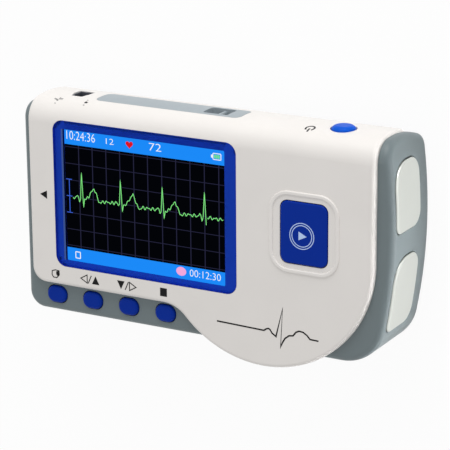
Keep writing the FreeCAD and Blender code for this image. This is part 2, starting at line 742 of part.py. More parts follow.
def make_switches():
    """The switches under the start and power keys, and the rubber mat under the menu keys."""
    half = S.switch_size / 2
    body = block("start_switch_body", start_x - half, start_x + half, start_y - half, start_y + half,
                 board_top, board_top + S.switch_thin)
    nub = rod("start_switch_nub", "Z", start_x, start_y, board_top + S.switch_thin, S.plunger_radius,
              S.nub_rise)
    keep("start_switch", join("start_switch", body, nub))

    nub_y = switch_low - S.press_gap - S.key_travel
    body_y = nub_y - S.nub_rise
    body = block("power_switch_body", power_x - half, power_x + half, body_y - half, body_y,
                 board_low - S.switch_tall, board_low)
    nub = rod("power_switch_nub", "Y", power_x, body_y, power_z, S.nub_radius, S.nub_rise)
    keep("power_switch", join("power_switch", body, nub))

    low_x = menu_xs[0] - S.menu_width / 2
    high_x = menu_xs[-1] + S.menu_width / 2
    margin = S.mat_margin
    half = S.dome_radius + S.mat_rim
    sheet = prism("mat_sheet", "Z", board_top, board_top + S.mat_thick,
                  rounded(low_x - margin, menu_y - half, high_x + margin, menu_y + half, margin))
    key_low = grey_front - S.case_wall - S.flange_gap - S.flange_thick
    dome_top = key_low - S.press_gap - S.key_travel
    domes = []
    for number, x in enumerate(menu_xs, start=1):
        dome = doc.addObject("Part::Cone", f"mat_dome_{number}")
        tie(dome, "Radius1", S.dome_radius)
        tie(dome, "Radius2", S.dome_top)
        tie(dome, "Height", dome_top - board_top - S.mat_thick)
        for letter, place in (("x", x), ("y", menu_y), ("z", board_top + S.mat_thick)):
            tie(dome, f"Placement.Base.{letter}", place)
        domes.append(dome)
    keep("keypad_mat", join("keypad_mat", sheet, *domes))


def key_holes(name, low, high):
    """Holes in the strip for the menu keys."""
    return [prism(f"{name}_{number}", "Z", low, high,
                  around(x, menu_y, S.menu_width, S.menu_height, S.menu_corner, S.key_gap))
            for number, x in enumerate(menu_xs, start=1)]


def power_hole(name):
    """Hole in the top side for the power key."""
    return rod(name, "Y", power_x, power_flange_y, power_z, S.power_radius + S.key_gap,
               top - power_flange_y + OVER)


# ---------------------------------------------------------------- top side: socket, strip, eyelet
socket_x = left + S.socket_inset
strip_x = socket_x + S.socket_wide / 2 + S.strip_inset + S.strip_length / 2
eyelet_x = strip_x + S.strip_length / 2 - S.eyelet_inset - S.eyelet_length / 2
strip_floor = top - S.strip_thick


def socket_outline(grow):
    """The mouth of the cable socket: wide towards the back, narrow towards the front."""
    wide = S.socket_wide / 2 + grow
    narrow = S.socket_narrow / 2 + grow
    low = S.strip_level - S.socket_tall / 2 - grow
    high = S.strip_level + S.socket_tall / 2 + grow
    shoulder = low + S.socket_shoulder
    return [(socket_x - wide, low), (socket_x + wide, low), (socket_x + wide, shoulder),
            (socket_x + narrow, high), (socket_x - narrow, high), (socket_x - wide, shoulder)]


def socket_hole(name):
    """Hole in the top side for the cable socket."""
    return prism(name, "Y", top - S.socket_depth, top + OVER, socket_outline(S.fit_gap))


def make_socket():
    """The cable socket with its cavity, and the contact tongue inside."""
    mouth = top - S.socket_sink
    inner = mouth - S.socket_depth
    body = prism("socket_body", "Y", inner, mouth, socket_outline(Size.of(0)))
    floor = inner + S.socket_floor
    cavity = prism("socket_cavity", "Y", floor, mouth + OVER, socket_outline(-S.socket_wall))
    keep("cable_socket", cut("cable_socket", body, cavity))
    half_x = S.tongue_wide / 2
    half_z = S.tongue_thick / 2
    keep("socket_contacts", block("socket_contacts", socket_x - half_x, socket_x + half_x,
                                  floor, mouth - S.tongue_sink,
                                  S.strip_level - half_z, S.strip_level + half_z))


def eyelet_cup(name, grow):
    """The outside of the pocket for a lanyard, below the strip."""
    low = top - S.eyelet_depth - S.eyelet_wall - grow
    return prism(name, "Y", low, strip_floor + S.strip_thick / 2,
                 around(eyelet_x, S.strip_level, S.eyelet_length, S.eyelet_width, S.eyelet_corner,
                        S.eyelet_wall + grow))


def make_top_strip():
    """The strip in the top side with the pocket for a lanyard, and the bar across the pocket."""
    plate = prism("strip_plate", "Y", strip_floor, top + OVER,
                  around(strip_x, S.strip_level, S.strip_length, S.strip_width, S.strip_corner))
    flush = overlap("strip_flush", plate, top_section)
    blank = join("strip_blank", flush, eyelet_cup("strip_cup", Size.of(0)))
    pocket = prism("strip_pocket", "Y", top - S.eyelet_depth, top + OVER,
                   around(eyelet_x, S.strip_level, S.eyelet_length, S.eyelet_width, S.eyelet_corner))
    keep("top_strip", cut("top_strip", blank, pocket))
    keep("lanyard_bar", rod("lanyard_bar", "Z", eyelet_x, top - S.bar_drop,
                            S.strip_level - S.eyelet_width / 2, S.lanyard_radius, S.eyelet_width))


# ---------------------------------------------------------------- front cover
BEAD_ROUND = 0.9     # share of the bead's height that its rounding takes


def cover_plan():
    """The front cover's plan as a plate: a rectangle and the round lobe."""
    plate = prism("cover_plate", "Z", S.seam_level, front, [
        (cover_x0 + S.cover_corner, cover_bottom),
        (lobe_x, cover_bottom),
        (lobe_x, lobe_y),
        (cover_x1, lobe_y),
        (cover_x1, top + S.case_wall),
        (cover_x0, top + S.case_wall),
        (cover_x0, cover_bottom + S.cover_corner, S.cover_corner),
    ])
    return lobed("cover_plan", plate, cover_bottom, S.lobe_radius, S.seam_level, front)


def make_front_cover():
    """The white cover with its pillars, its bead and its openings."""
    outer = overlap("cover_outer", cover_plan(), top_section)

    def rim(edge):
        """The edge round the front face and up both ends of the top side."""
        (x0, x1), (y0, y1), (z0, z1) = extent(edge)
        at_front = z0 > float(front) - NEAR and (x1 - x0 < NEAR or y0 < float(lobe_y) + NEAR)
        at_ends = x1 - x0 < NEAR and y1 - y0 > NEAR and z1 > float(S.seam_level) + NEAR
        return at_front or at_ends

    smooth = soften("cover_smooth", outer, S.cover_edge, rim)
    hollow = side_profile("cover_hollow", S.cover_wall, grey_front, S.seam_level - OVER)
    bead = cut("bead",
               prism("bead_outer", "Z", front - S.bead_rise, front + S.bead_rise,
                     around(start_x, start_y, S.bead_width, S.bead_height, S.bead_corner)),
               prism("bead_inner", "Z", grey_front, front + OVER,
                     around(start_x, start_y, S.bead_width, S.bead_height, S.bead_corner, -S.bead_band)))
    soft_bead = soften("bead_smooth", bead, S.bead_rise * BEAD_ROUND, flat_at("Z", front + S.bead_rise))
    skin = cut("cover_skin", join("cover_front", smooth, soft_bead), hollow)
    pillars = rods("cover_pillar", cover_posts, S.seam_level, grey_front + S.cover_step / 2, S.pillar_radius)
    bosses = rods("cover_boss", board_posts, board_top, grey_front + S.cover_step / 2, S.pillar_radius)
    body = join("cover_body", skin, *pillars, *bosses)
    seat = front - S.window_thick - S.mask_thick
    bores = rods("cover_bore", cover_posts, S.seam_level - OVER, S.seam_level + S.screw_bite + S.bore_tip,
                 S.screw_radius + S.screw_fit)
    bores += rods("cover_boss_bore", board_posts, board_top - OVER, board_top + S.screw_bite,
                  S.screw_radius + S.screw_fit)
    holes = [
        prism("cover_window", "Z", seat, front + OVER,
              around(window_x, window_y, S.window_width, window_height, S.window_corner, S.fit_gap)),
        prism("cover_ledge", "Z", grey_front - OVER, front,
              around(window_x, window_y, S.window_width - S.window_ledge * 2,
                     window_height - S.window_ledge * 2, S.mask_corner)),
        prism("cover_start", "Z", grey_front - OVER, front + OVER,
              around(start_x, start_y, S.start_width, S.start_height, S.start_corner, S.key_gap)),
        prism("cover_strip", "Y", strip_floor, top + OVER,
              around(strip_x, S.strip_level, S.strip_length, S.strip_width, S.strip_corner, S.fit_gap)),
        eyelet_cup("cover_eyelet", S.fit_gap),
        socket_hole("cover_socket"),
        power_hole("cover_power"),
    ]
    keep("front_cover", cut("front_cover", body, *holes, *bores))


# ---------------------------------------------------------------- batteries, bay and door
cell_level = S.case_wall + S.cell_gap + S.cell_radius
cell_ys = [bay_y0 + S.cell_gap + S.cell_radius, bay_y1 - S.cell_gap - S.cell_radius]


def make_batteries():
    """Two cells side by side, opposite ways round, with a plate at one end and a spring at the other."""
    springs = []
    plates = []
    for number, (y, way) in enumerate(zip(cell_ys, (1, -1)), start=1):
        nub_x = bay_x1 - S.bay_plate if way > 0 else bay_x0 + S.bay_plate
        back_x = nub_x - way * S.cell_length
        low_x = back_x if way > 0 else nub_x + S.nub_tall
        can = rod(f"cell_can_{number}", "X", low_x, y, cell_level, S.cell_radius, S.cell_length - S.nub_tall)
        nub_low = nub_x - S.nub_tall if way > 0 else nub_x
        nub = rod(f"cell_nub_{number}", "X", nub_low, y, cell_level, S.cell_nub, S.nub_tall)
        keep(f"battery_cell_{number}", join(f"battery_cell_{number}", can, nub))
        plate_x = bay_x1 - S.bay_plate if way > 0 else bay_x0
        half = S.contact_wide / 2
        plates.append(block(f"battery_plate_{number}", plate_x, plate_x + S.bay_plate, y - half, y + half,
                            cell_level - half, cell_level + half))
        wall_x = bay_x0 if way > 0 else bay_x1
        face_x = wall_x + way * S.bay_plate
        tip = cell_level + S.spring_tip
        profile = [
            (wall_x, cell_level - half), (face_x, cell_level - half),
            (face_x, cell_level + half - S.bay_plate * 2), (back_x, cell_level), (back_x, tip),
            (face_x, cell_level + half), (wall_x, cell_level + half),
        ]
        springs.append(prism(f"battery_spring_{number}", "Y", y - half, y + half, profile))
    keep("battery_plates", group("battery_plates", *plates))
    keep("battery_springs", group("battery_springs", *springs))


def door_body(name, gap, x0, x1, level):
    """The door's plate with its rails and tongue, grown by a gap."""
    rail = S.rail_size
    plate = block(name + "_plate", x0, x1, bay_y0 - gap, bay_y1 + gap, -S.case_wall, level)
    rails = block(name + "_rails", x0, x1 + rail, bay_y0 - rail - gap, bay_y1 + rail + gap,
                  S.case_wall - rail - gap, level)
    return join(name, plate, rails)


def make_door():
    """The door of the battery bay, which slides towards the left end."""
    gap = S.door_gap
    blank = door_body("door_blank", -gap, left - OVER, bay_x1 - gap, S.case_wall)
    trimmed = overlap("door_trimmed", blank, shell_solid)
    half = S.grip_length / 2
    middle = (bay_y0 + bay_y1) / 2
    grooves = []
    for step in range(int(S.grip_count.value)):
        groove_x = bay_x0 + S.grip_inset + S.grip_pitch * step
        grooves.append(block(f"door_groove_{step}", groove_x, groove_x + S.grip_wide,
                             middle - half, middle + half, -S.case_wall, S.grip_depth))
    keep("battery_door", cut("battery_door", trimmed, *grooves))


# ---------------------------------------------------------------- electrodes
def electrode_outline(y, high, grow):
    """The outline of an electrode as seen from its end, grown on every side."""
    half_y = high / 2 + grow
    half_z = S.electrode_wide / 2 + grow
    back = S.electrode_back + grow
    return rounded(y - half_y, S.electrode_level - half_z, y + half_y, S.electrode_level + half_z,
                   back, back, S.electrode_big + grow, S.electrode_small + grow)


def crown_at(y):
    """The end face's place along the length at a height of its own."""
    return crown_x + root(S.cap_crown * S.cap_crown - (y - crown_y) * (y - crown_y))


def crown_disc(name, grow):
    """An upright disc whose rim is the crowned end face, grown outwards."""
    return rod(name, "Z", crown_x, crown_y, -S.case_wall, S.cap_crown + grow, front + S.case_wall * 2)


def electrode_seat_right(name, y, high):
    """The recess and stud hole for an electrode of the end cap."""
    inside = crown_at(y) - S.electrode_wide
    recess = cut(name + "_recess",
                 prism(name + "_pocket", "X", inside, right + S.case_wall,
                       electrode_outline(y, high, S.electrode_gap)),
                 crown_disc(name + "_floor", -S.electrode_seat))
    hole = rod(name + "_hole", "X", inside, y, S.electrode_level, S.stud_radius + S.screw_fit,
               S.electrode_wide)
    return [recess, hole]


def electrode_right(name, y, high):
    """An electrode that follows the crowned end face, with its stud."""
    end = crown_at(y)
    slab = prism(name + "_slab", "X", end - S.electrode_wide, right + S.case_wall,
                 electrode_outline(y, high, Size.of(0)))
    skin = overlap(name + "_skin", slab, crown_disc(name + "_face", S.electrode_proud))
    plate = cut(name + "_plate", skin, crown_disc(name + "_seat", -S.electrode_seat))

    def outer_edge(edge):
        """The edges round the electrode's outer face."""
        middle = edge.valueAt((edge.FirstParameter + edge.LastParameter) / 2)
        away = math.hypot(middle.x - float(crown_x), middle.y - float(crown_y))
        return abs(away - float(S.cap_crown + S.electrode_proud)) < NEAR * 10

    smooth = soften(name + "_smooth", plate, S.electrode_soft, outer_edge)
    stud_x = end - S.case_wall - S.stud_reach
    stud = rod(name + "_stud", "X", stud_x, y, S.electrode_level, S.stud_radius,
               S.case_wall + S.stud_reach - S.electrode_seat / 2)
    keep(name, join(name, smooth, stud))
    return stud_x


def electrode_left(name, y):
    """The flat electrode of the left end, with its stud."""
    slab = prism(name + "_slab", "X", left - S.electrode_proud, left + S.electrode_seat,
                 electrode_outline(y, S.left_high, Size.of(0)))
    smooth = soften(name + "_smooth", slab, S.electrode_soft, flat_at("X", left - S.electrode_proud))
    stud = rod(name + "_stud", "X", left + S.electrode_seat / 2, y, S.electrode_level, S.stud_radius,
               S.case_wall + S.stud_reach - S.electrode_seat / 2)
    keep(name, join(name, smooth, stud))
    return left + S.case_wall + S.stud_reach


def contact_spring(name, y, stud_x, way):
    """A bent strip from a stud to the board; way is the side that the stud points to."""
    half = S.spring_wide / 2
    thick = S.spring_thick
    near = stud_x - way * thick
    foot = stud_x - way * S.spring_foot
    high = board_top + thick
    low = S.electrode_level - S.stud_radius
    return prism(name, "Y", y - half, y + half, [
        (stud_x, low), (near, low), (near, board_top), (foot, board_top), (foot, high), (stud_x, high)])


def make_electrodes():
    """The three electrodes and the springs that join them to the board."""
    springs = []
    for name, y, high in (("upper_electrode", upper_y, S.electrode_high),
                          ("lower_electrode", lower_y, S.lower_high)):
        stud_x = electrode_right(name, y, high)
        springs.append(contact_spring(name + "_spring", y, stud_x, 1))
    stud_x = electrode_left("left_electrode", window_y)
    springs.append(contact_spring("left_electrode_spring", window_y, stud_x, -1))
    keep("electrode_springs", group("electrode_springs", *springs))


# ---------------------------------------------------------------- grey shells
def left_seat(name):
    """The recess for the left electrode."""
    return prism(name, "X", left - OVER, left + S.electrode_seat,
                 electrode_outline(window_y, S.left_high, S.electrode_gap))


def make_rear_cover():
    """The rear shell with the battery bay, the doorway and the screw bosses."""
    wall = slice_of("rear_shell", left - OVER, seam_x, Size.of(-OVER), S.seam_level)
    bosses, bores = boss_pieces("rear", shell_posts)
    bay = block("bay_outer", bay_x0 - S.bay_wall, bay_x1 + S.bay_wall, bay_y0 - S.bay_wall,
                bay_y1 + S.bay_wall, S.case_wall / 2, bay_roof + S.bay_wall)
    inner = block("bay_inner", bay_x0, bay_x1, bay_y0, bay_y1, -S.case_wall, bay_roof)
    doorway = door_body("doorway", Size.of(0), left - OVER, bay_x1, S.case_wall + S.door_gap)
    body = join("rear_body", wall, bay, *bosses)
    keep("rear_cover", cut("rear_cover", body, inner, doorway, left_seat("rear_left_seat"), *bores))


def make_middle_case():
    """The middle shell with the key strip and the openings of the top side."""
    wall = slice_of("middle_shell", left - OVER, seam_x, S.seam_level, front)
    stud_hole = rod("left_stud_hole", "X", left - OVER, window_y, S.electrode_level,
                    S.stud_radius + S.screw_fit, S.case_wall + OVER * 2)
    holes = key_holes("strip_hole", grey_front - S.case_wall - OVER, front)
    keep("middle_case", cut("middle_case", wall, left_seat("left_seat"), stud_hole,
                            socket_hole("middle_socket"), eyelet_cup("middle_eyelet", S.fit_gap), *holes))


def make_end_cap():
    """The right end cap with its crowned face and the seats of two electrodes."""
    wall = slice_of("cap_shell", seam_x, right + OVER, Size.of(-OVER), front)
    bosses, bores = boss_pieces("cap", cap_posts)
    seats = electrode_seat_right("upper_seat", upper_y, S.electrode_high)
    seats += electrode_seat_right("lower_seat", lower_y, S.lower_high)
    keep("right_end_cap", cut("right_end_cap", join("cap_body", wall, *bosses), power_hole("cap_power"),
                              *seats, *bores))


# ---------------------------------------------------------------- display
def make_display():
    """The window, its printed border, the panel behind it and the holder of the panel."""
    glass_low = front - S.window_thick
    mask_low = glass_low - S.mask_thick
    outline = around(window_x, window_y, S.window_width, window_height, S.window_corner)
    clear_width = S.window_width - S.border_left - S.border_right
    clear_height = window_height - S.border_top - S.border_foot
    clear_x = window_x + (S.border_left - S.border_right) / 2
    clear_y = window_y + (S.border_foot - S.border_top) / 2
    clear_area = around(clear_x, clear_y, clear_width, clear_height, S.mask_corner)
    keep("display_window", prism("display_window", "Z", glass_low, front, outline))
    keep("window_mask", cut("window_mask", prism("mask_outer", "Z", mask_low, glass_low, outline),
                            prism("mask_inner", "Z", mask_low - OVER, front, clear_area)))
    panel_top = mask_low - S.fit_gap
    panel_low = panel_top - S.panel_thick
    half_x = clear_width / 2 + S.panel_side
    half_y = clear_height / 2 + S.panel_end
    keep("display_panel", block("display_panel", clear_x - half_x, clear_x + half_x,
                                clear_y - half_y, clear_y + half_y, panel_low, panel_top))
    floor_low = panel_low - S.holder_wall
    side_x = half_x + S.fit_gap + S.holder_wall
    side_y = half_y + S.fit_gap + S.holder_wall
    tray = block("holder_tray", clear_x - side_x, clear_x + side_x, clear_y - side_y, clear_y + side_y,
                 floor_low, panel_low + S.holder_rim)
    well = block("holder_well", clear_x - half_x - S.fit_gap, clear_x + half_x + S.fit_gap,
                 clear_y - half_y - S.fit_gap, clear_y + half_y + S.fit_gap, panel_low, front)
    foot_x = half_x - S.foot_inset
    foot_y = half_y - S.foot_inset
    corners = [(clear_x + x * foot_x, clear_y + y * foot_y) for x in (-1, 1) for y in (-1, 1)]
    feet = rods("holder_foot", corners, board_top, floor_low + S.holder_wall / 2, S.holder_foot)
    keep("panel_holder", join("panel_holder", cut("holder_shell", tray, well), *feet))


# ---------------------------------------------------------------- circuit board
def make_board():
    """The circuit board with its notches and holes, and the chips under it."""
    low = board_low
    far_corner = S.cap_corner - S.case_wall - S.board_margin
    x0 = left + S.case_wall + S.board_left
    x1 = cap_x + far_corner
    y0 = grey_bottom + S.case_wall + S.board_margin
    y1 = wall_inside - S.board_margin
    sheet = prism("board_sheet", "Z", low, board_top,
                  rounded(x0, y0, x1, y1, S.board_corner, far_corner, S.board_corner, S.board_corner))
    wide = S.socket_wide / 2 + S.fit_gap
    socket_end = top - S.socket_sink - S.socket_depth - S.fit_gap
    notches = [
        block("board_notch_socket", socket_x - wide, socket_x + wide, socket_end, top, low - OVER,
              board_top + OVER),
        block("board_notch_power", power_x - S.power_notch, x1 + OVER,
              switch_low - S.key_travel - S.press_gap, top, low - OVER, board_top + OVER),
    ]
    holes = rods("board_hole", cover_posts, low - OVER, board_top + OVER, S.pillar_radius + S.screw_slack)
    holes += rods("board_bore", board_posts, low - OVER, board_top + OVER, S.screw_radius + S.screw_slack)
    keep("main_board", cut("main_board", sheet, *notches, *holes))
    chips = []
    for name, x, y, width, height in (
            ("processor", start_x - S.chip_shift, start_y - S.chip_shift, S.chip_side, S.chip_side),
            ("memory", start_x - S.chip_shift, start_y + S.chip_shift, S.chip_length, S.chip_width),
            ("amplifier", window_x + S.amplifier_shift, menu_y + S.amplifier_rise, S.chip_length,
             S.chip_width)):
        chips.append(block(name, x - width / 2, x + width / 2, y - height / 2, y + height / 2,
                           low - S.chip_thick, low))
    keep("board_chips", group("board_chips", *chips))


# ---------------------------------------------------------------- build, test and write
def write_parts():
    """Recompute everything, stop if a piece failed, and write each piece to its own file."""
    doc.recompute()
    failed = [item.Name for item in doc.Objects if "Invalid" in item.State or "Error" in item.State]
    if failed:
        raise RuntimeError(f"did not build: {failed}")
    os.makedirs("parts", exist_ok=True)
    for name, piece in parts.items():
        shape = piece.Shape
        if shape.isNull() or not shape.isValid():
            raise RuntimeError(f"{name} is not a valid shape")
        shape.exportStep(f"parts/{name}.step")
        print(f"{name}: {len(shape.Solids)} solid, {shape.Volume:.1f} mm3")


make_front_cover()
make_middle_case()
make_end_cap()
make_rear_cover()
make_door()
make_top_strip()
make_socket()
make_display()
make_keys()
make_switches()
make_electrodes()
make_batteries()
make_board()
make_screws()
write_parts()
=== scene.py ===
"""Finishes a handheld heart-rhythm monitor: materials, screen picture, printed marks and stage.

Everything is in metres, in the frame of the packed model: +Z comes out of the display, +Y goes to
the top side with the power key, and +X to the end with two electrodes.
"""

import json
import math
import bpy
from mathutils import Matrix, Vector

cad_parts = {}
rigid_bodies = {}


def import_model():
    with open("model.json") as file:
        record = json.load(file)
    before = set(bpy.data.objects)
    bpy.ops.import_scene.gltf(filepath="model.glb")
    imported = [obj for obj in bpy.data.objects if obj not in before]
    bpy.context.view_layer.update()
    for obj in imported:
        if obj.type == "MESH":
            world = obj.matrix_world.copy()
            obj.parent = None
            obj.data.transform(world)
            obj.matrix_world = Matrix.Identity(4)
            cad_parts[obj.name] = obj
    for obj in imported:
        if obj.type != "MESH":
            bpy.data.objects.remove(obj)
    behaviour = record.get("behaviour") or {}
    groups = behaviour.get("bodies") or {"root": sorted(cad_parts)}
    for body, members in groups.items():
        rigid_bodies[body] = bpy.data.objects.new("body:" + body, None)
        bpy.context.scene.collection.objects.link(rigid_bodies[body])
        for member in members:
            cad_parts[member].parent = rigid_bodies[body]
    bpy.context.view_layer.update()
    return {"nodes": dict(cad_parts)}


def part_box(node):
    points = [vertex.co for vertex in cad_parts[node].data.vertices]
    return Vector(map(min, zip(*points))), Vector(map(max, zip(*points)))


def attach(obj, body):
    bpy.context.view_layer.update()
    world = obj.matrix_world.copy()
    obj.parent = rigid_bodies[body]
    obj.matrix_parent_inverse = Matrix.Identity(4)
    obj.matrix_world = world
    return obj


bl_info = {
    "name": "Heart Rhythm Monitor",
    "version": (1, 0, 0),
    "blender": (4, 5, 0),
    "location": "View3D > Sidebar > Monitor",
    "description": "Finishes, screen picture, printed marks and stage of a handheld heart-rhythm monitor",
    "category": "Object",
}

import bmesh
import bpy
from bpy.props import FloatProperty, FloatVectorProperty, IntProperty, PointerProperty, StringProperty
from bpy.types import Operator, Panel, PropertyGroup
from mathutils import Matrix, Vector
from mathutils.bvhtree import BVHTree

for item in list(bpy.data.objects):
    bpy.data.objects.remove(item)

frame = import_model()

MM = 0.001
CASE = "case"         # the body that carries everything but the keys and the battery door


def srgb(red, green, blue):
    """A colour given as it is seen, from 0 to 255, turned into scene light."""
    def light(level):
        level /= 255
        return level / 12.92 if level <= 0.04045 else ((level + 0.055) / 1.055) ** 2.4
    return light(red), light(green), light(blue)


def in_metres(numbers):
    """Numbers given in millimetres, turned into metres."""
    return [number * MM for number in numbers]


def points_in_metres(points):
    """Points given in millimetres, turned into metres."""
    return [in_metres(point) for point in points]


# ---------------------------------------------------------------- sizes and colours
def length(name, description, millimetres):
    """A length property with its default in millimetres."""
    return FloatProperty(name=name, description=description, default=millimetres * MM, min=0.0,
                         unit="LENGTH", subtype="DISTANCE", precision=5)


def location(name, description, x, y, z):
    """A point property with its default in millimetres."""
    return FloatVectorProperty(name=name, description=description, default=in_metres((x, y, z)),
                               subtype="TRANSLATION", unit="LENGTH", precision=4)


def angle(name, description, degrees):
    """An angle property with its default in degrees."""
    return FloatProperty(name=name, description=description, default=math.radians(degrees), subtype="ANGLE")


def power(name, description, watts):
    """The power of a lamp, with its default in watts."""
    return FloatProperty(name=name, description=description, default=watts, min=0.0,
                         unit="POWER", subtype="POWER")


def colour(name, description, red, green, blue):
    """A colour property with its default as it is seen, from 0 to 255."""
    return FloatVectorProperty(name=name, description=description, default=srgb(red, green, blue),
                               subtype="COLOR", min=0.0, max=1.0)


def share(name, description, value):
    """A property from 0 to 1."""
    return FloatProperty(name=name, description=description, default=value, min=0.0, max=1.0,
                         subtype="FACTOR")


def amount(name, description, value):
    """A property for a number of copies."""
    return IntProperty(name=name, description=description, default=value, min=1)


def characters(name, description, value):
    """A property for plain digits."""
    return StringProperty(name=name, description=description, default=value)


class ShellFinish(PropertyGroup):
    """Moulded shells."""
    white: colour("White shell", "Front cover", 232, 228, 224)
    grey: colour("Grey shell", "Middle case, rear cover, end cap and battery door", 105, 117, 120)
    pale: colour("Pale grey", "Strip in the top side", 154, 164, 170)
    grain: length("Grain", "Width of the moulded grain", 0.35)
    grain_depth: length("Grain depth", "Depth of the moulded grain", 0.006)
    gloss: share("Roughness", "Roughness of the shells", 0.42)
    coat: share("Coat", "Strength of the clear coat on the white shell", 0.1)


class KeyFinish(PropertyGroup):
    """Keys and what is printed on them."""
    blue: colour("Blue", "Menu keys and start key", 0, 44, 150)
    power_blue: colour("Power key blue", "Power key", 8, 86, 204)
    grain: length("Grain", "Width of the moulded grain", 0.4)
    grain_depth: length("Grain depth", "Depth of the moulded grain", 0.004)
    gloss: share("Roughness", "Roughness of the keys", 0.4)
    mirror: share("Mirror", "How strongly the keys mirror what is round them", 0.08)
    mark: colour("Key print", "Rings and triangle on the start key", 184, 207, 246)
    thick: length("Ink thickness", "Print on the start key", 0.03)
    ring_place: location("Ring place", "Middle of the rings, from the middle of the start key",
                         -0.44, -0.62, 0.0)
    ring_outer: length("Outer ring", "Radius of the outer ring on the start key", 3.7)
    ring_inner: length("Inner ring", "Radius of the inner ring on the start key", 3.05)
    ring_line: length("Ring line", "Width of the rings", 0.24)
    triangle: length("Triangle", "Width and height of the triangle on the start key", 2.5)


class ScreenPicture(PropertyGroup):
    """The display. Places of its picture are taken from the lower left corner of the lit area."""
    panel: colour("Panel", "Display panel under the picture", 8, 9, 12)
    holder: colour("Holder", "Frame that holds the panel", 30, 30, 32)
    border: colour("Border", "Printed border of the window", 39, 86, 224)
    border_left: length("Left border", "Printed border at the left of the lit area", 3.15)
    border_right: length("Right border", "Printed border at the right of the lit area", 4.1)
    border_top: length("Top border", "Printed border above the lit area", 2.7)
    border_foot: length("Bottom border", "Printed border below the lit area", 1.7)
    ink: length("Ink thickness", "Printed lines on the border", 0.01)
    edge: colour("Edge", "Pale line at the left of the lit area", 96, 128, 206)
    edge_start: length("Edge start", "From the outer side of the pale line to the lit area", 1.05)
    edge_end: length("Edge end", "Width of the black gap between the pale line and the lit area", 0.4)
    bar: colour("Bars", "Bars above and below the trace", 28, 140, 252)
    top_bar: length("Top bar", "Height of the top bar", 4.35)
    low_bar: length("Low bar", "Height of the bottom bar", 4.0)
    field: colour("Field", "Ground behind the trace", 3, 4, 8)
    grid: colour("Grid", "Lines of the grid", 38, 38, 62)
    columns: amount("Columns", "Upright lines of the grid", 11)
    column_start: length("First column", "Place of the first upright line", 4.7)
    column_pitch: length("Column pitch", "Distance between the upright lines", 4.62)
    column_line: length("Column line", "Width of the upright lines", 0.3)
    rows: amount("Rows", "Level lines of the grid", 7)
    row_start: length("First row", "Place of the highest level line", 34.4)
    row_pitch: length("Row pitch", "Distance between the level lines", 4.95)
    row_line: length("Row line", "Width of the level lines", 0.2)
    trace: colour("Trace", "The pulse trace", 132, 240, 132)
    base: length("Base", "Height at which the trace rests", 19.4)
    trace_start: length("Trace start", "Left end of the trace", 2.5)
    trace_end: length("Trace end", "Right end of the trace", 52.3)
    gap_start: length("Gap start", "Left end of the gap that the moving picture leaves in the trace", 46.75)
    gap_end: length("Gap end", "Right end of that gap", 47.2)
    tremor: length("Tremor", "Height of the trace's tremor", 0.44)
    tremor_pitch: length("Tremor pitch", "Distance between the waves of the tremor", 1.7)
    trace_line: length("Trace line", "Width of the trace", 0.2)
    bracket: colour("Bracket", "Height mark at the left of the trace", 60, 100, 220)
    bracket_place: length("Bracket place", "Place of its upright line", 1.25)
    bracket_foot: length("Bracket foot", "Lower end of the height mark", 14.68)
    bracket_top: length("Bracket top", "Upper end of the height mark", 24.69)
    bracket_left: length("Bracket left", "Reach of its level lines to the left", 1.0)
    bracket_right: length("Bracket right", "Reach of its level lines to the right", 0.9)
    bracket_line: length("Bracket line", "Width of its lines", 0.2)
    digits: colour("Digits", "Digits and small signs", 244, 248, 252)
    clock: characters("Clock", "Digits at the left of the top bar", "10:24:36")
    scale: characters("Scale", "Small digits beside the clock", "12")
    rate: characters("Rate", "Digits beside the heart", "72")
    count: characters("Count", "Digits at the right of the bottom bar", "00:12:30")
    charge: colour("Charge", "Bars in the battery sign", 120, 232, 130)
    heart: colour("Heart", "Heart sign", 226, 22, 30)
    dot: colour("Dot", "Round sign in the bottom bar", 246, 170, 222)


class PrintedMarks(PropertyGroup):
    """Marks printed on the front cover."""
    ink: colour("Ink", "Marks on the front", 8, 8, 9)
    dark_ink: colour("Dark side ink", "Marks beside the strip and the power key", 34, 34, 36)
    pale_ink: colour("Pale side ink", "Mark beside the socket", 140, 140, 138)
    mirror: share("Mirror", "How strongly the ink mirrors what is round it", 0.15)
    thick: length("Ink thickness", "Printed marks", 0.03)
    pulse_line: length("Pulse line", "Width of the pulse line", 0.44)
    thin_line: length("Thin line", "Width of thin outlines", 0.28)
    side_line: length("Side line", "Width of the lines on the top side", 0.5)
    ring: length("Ring", "Radius of the ring beside the power key", 1.2)
    sheet: share("Sheet", "Size of the sheet above the first key, as a share of the other marks", 0.82)
    mark_size: length("Mark size", "Height of the marks above the keys", 2.5)
    marks_above: length("Marks above keys", "Marks above the middle of the keys", 6.95)
    arrow_place: length("Arrow place", "From the middle of the arrow at the left to the window", 3.85)
    arrow_reach: length("Arrow reach", "Half the length of the arrow at the left", 1.2)


class ElectrodeFinish(PropertyGroup):
    """Electrodes."""
    plate: colour("Plate", "Plated metal of the electrodes", 218, 221, 215)
    gloss: share("Roughness", "Roughness of the electrodes", 0.34)


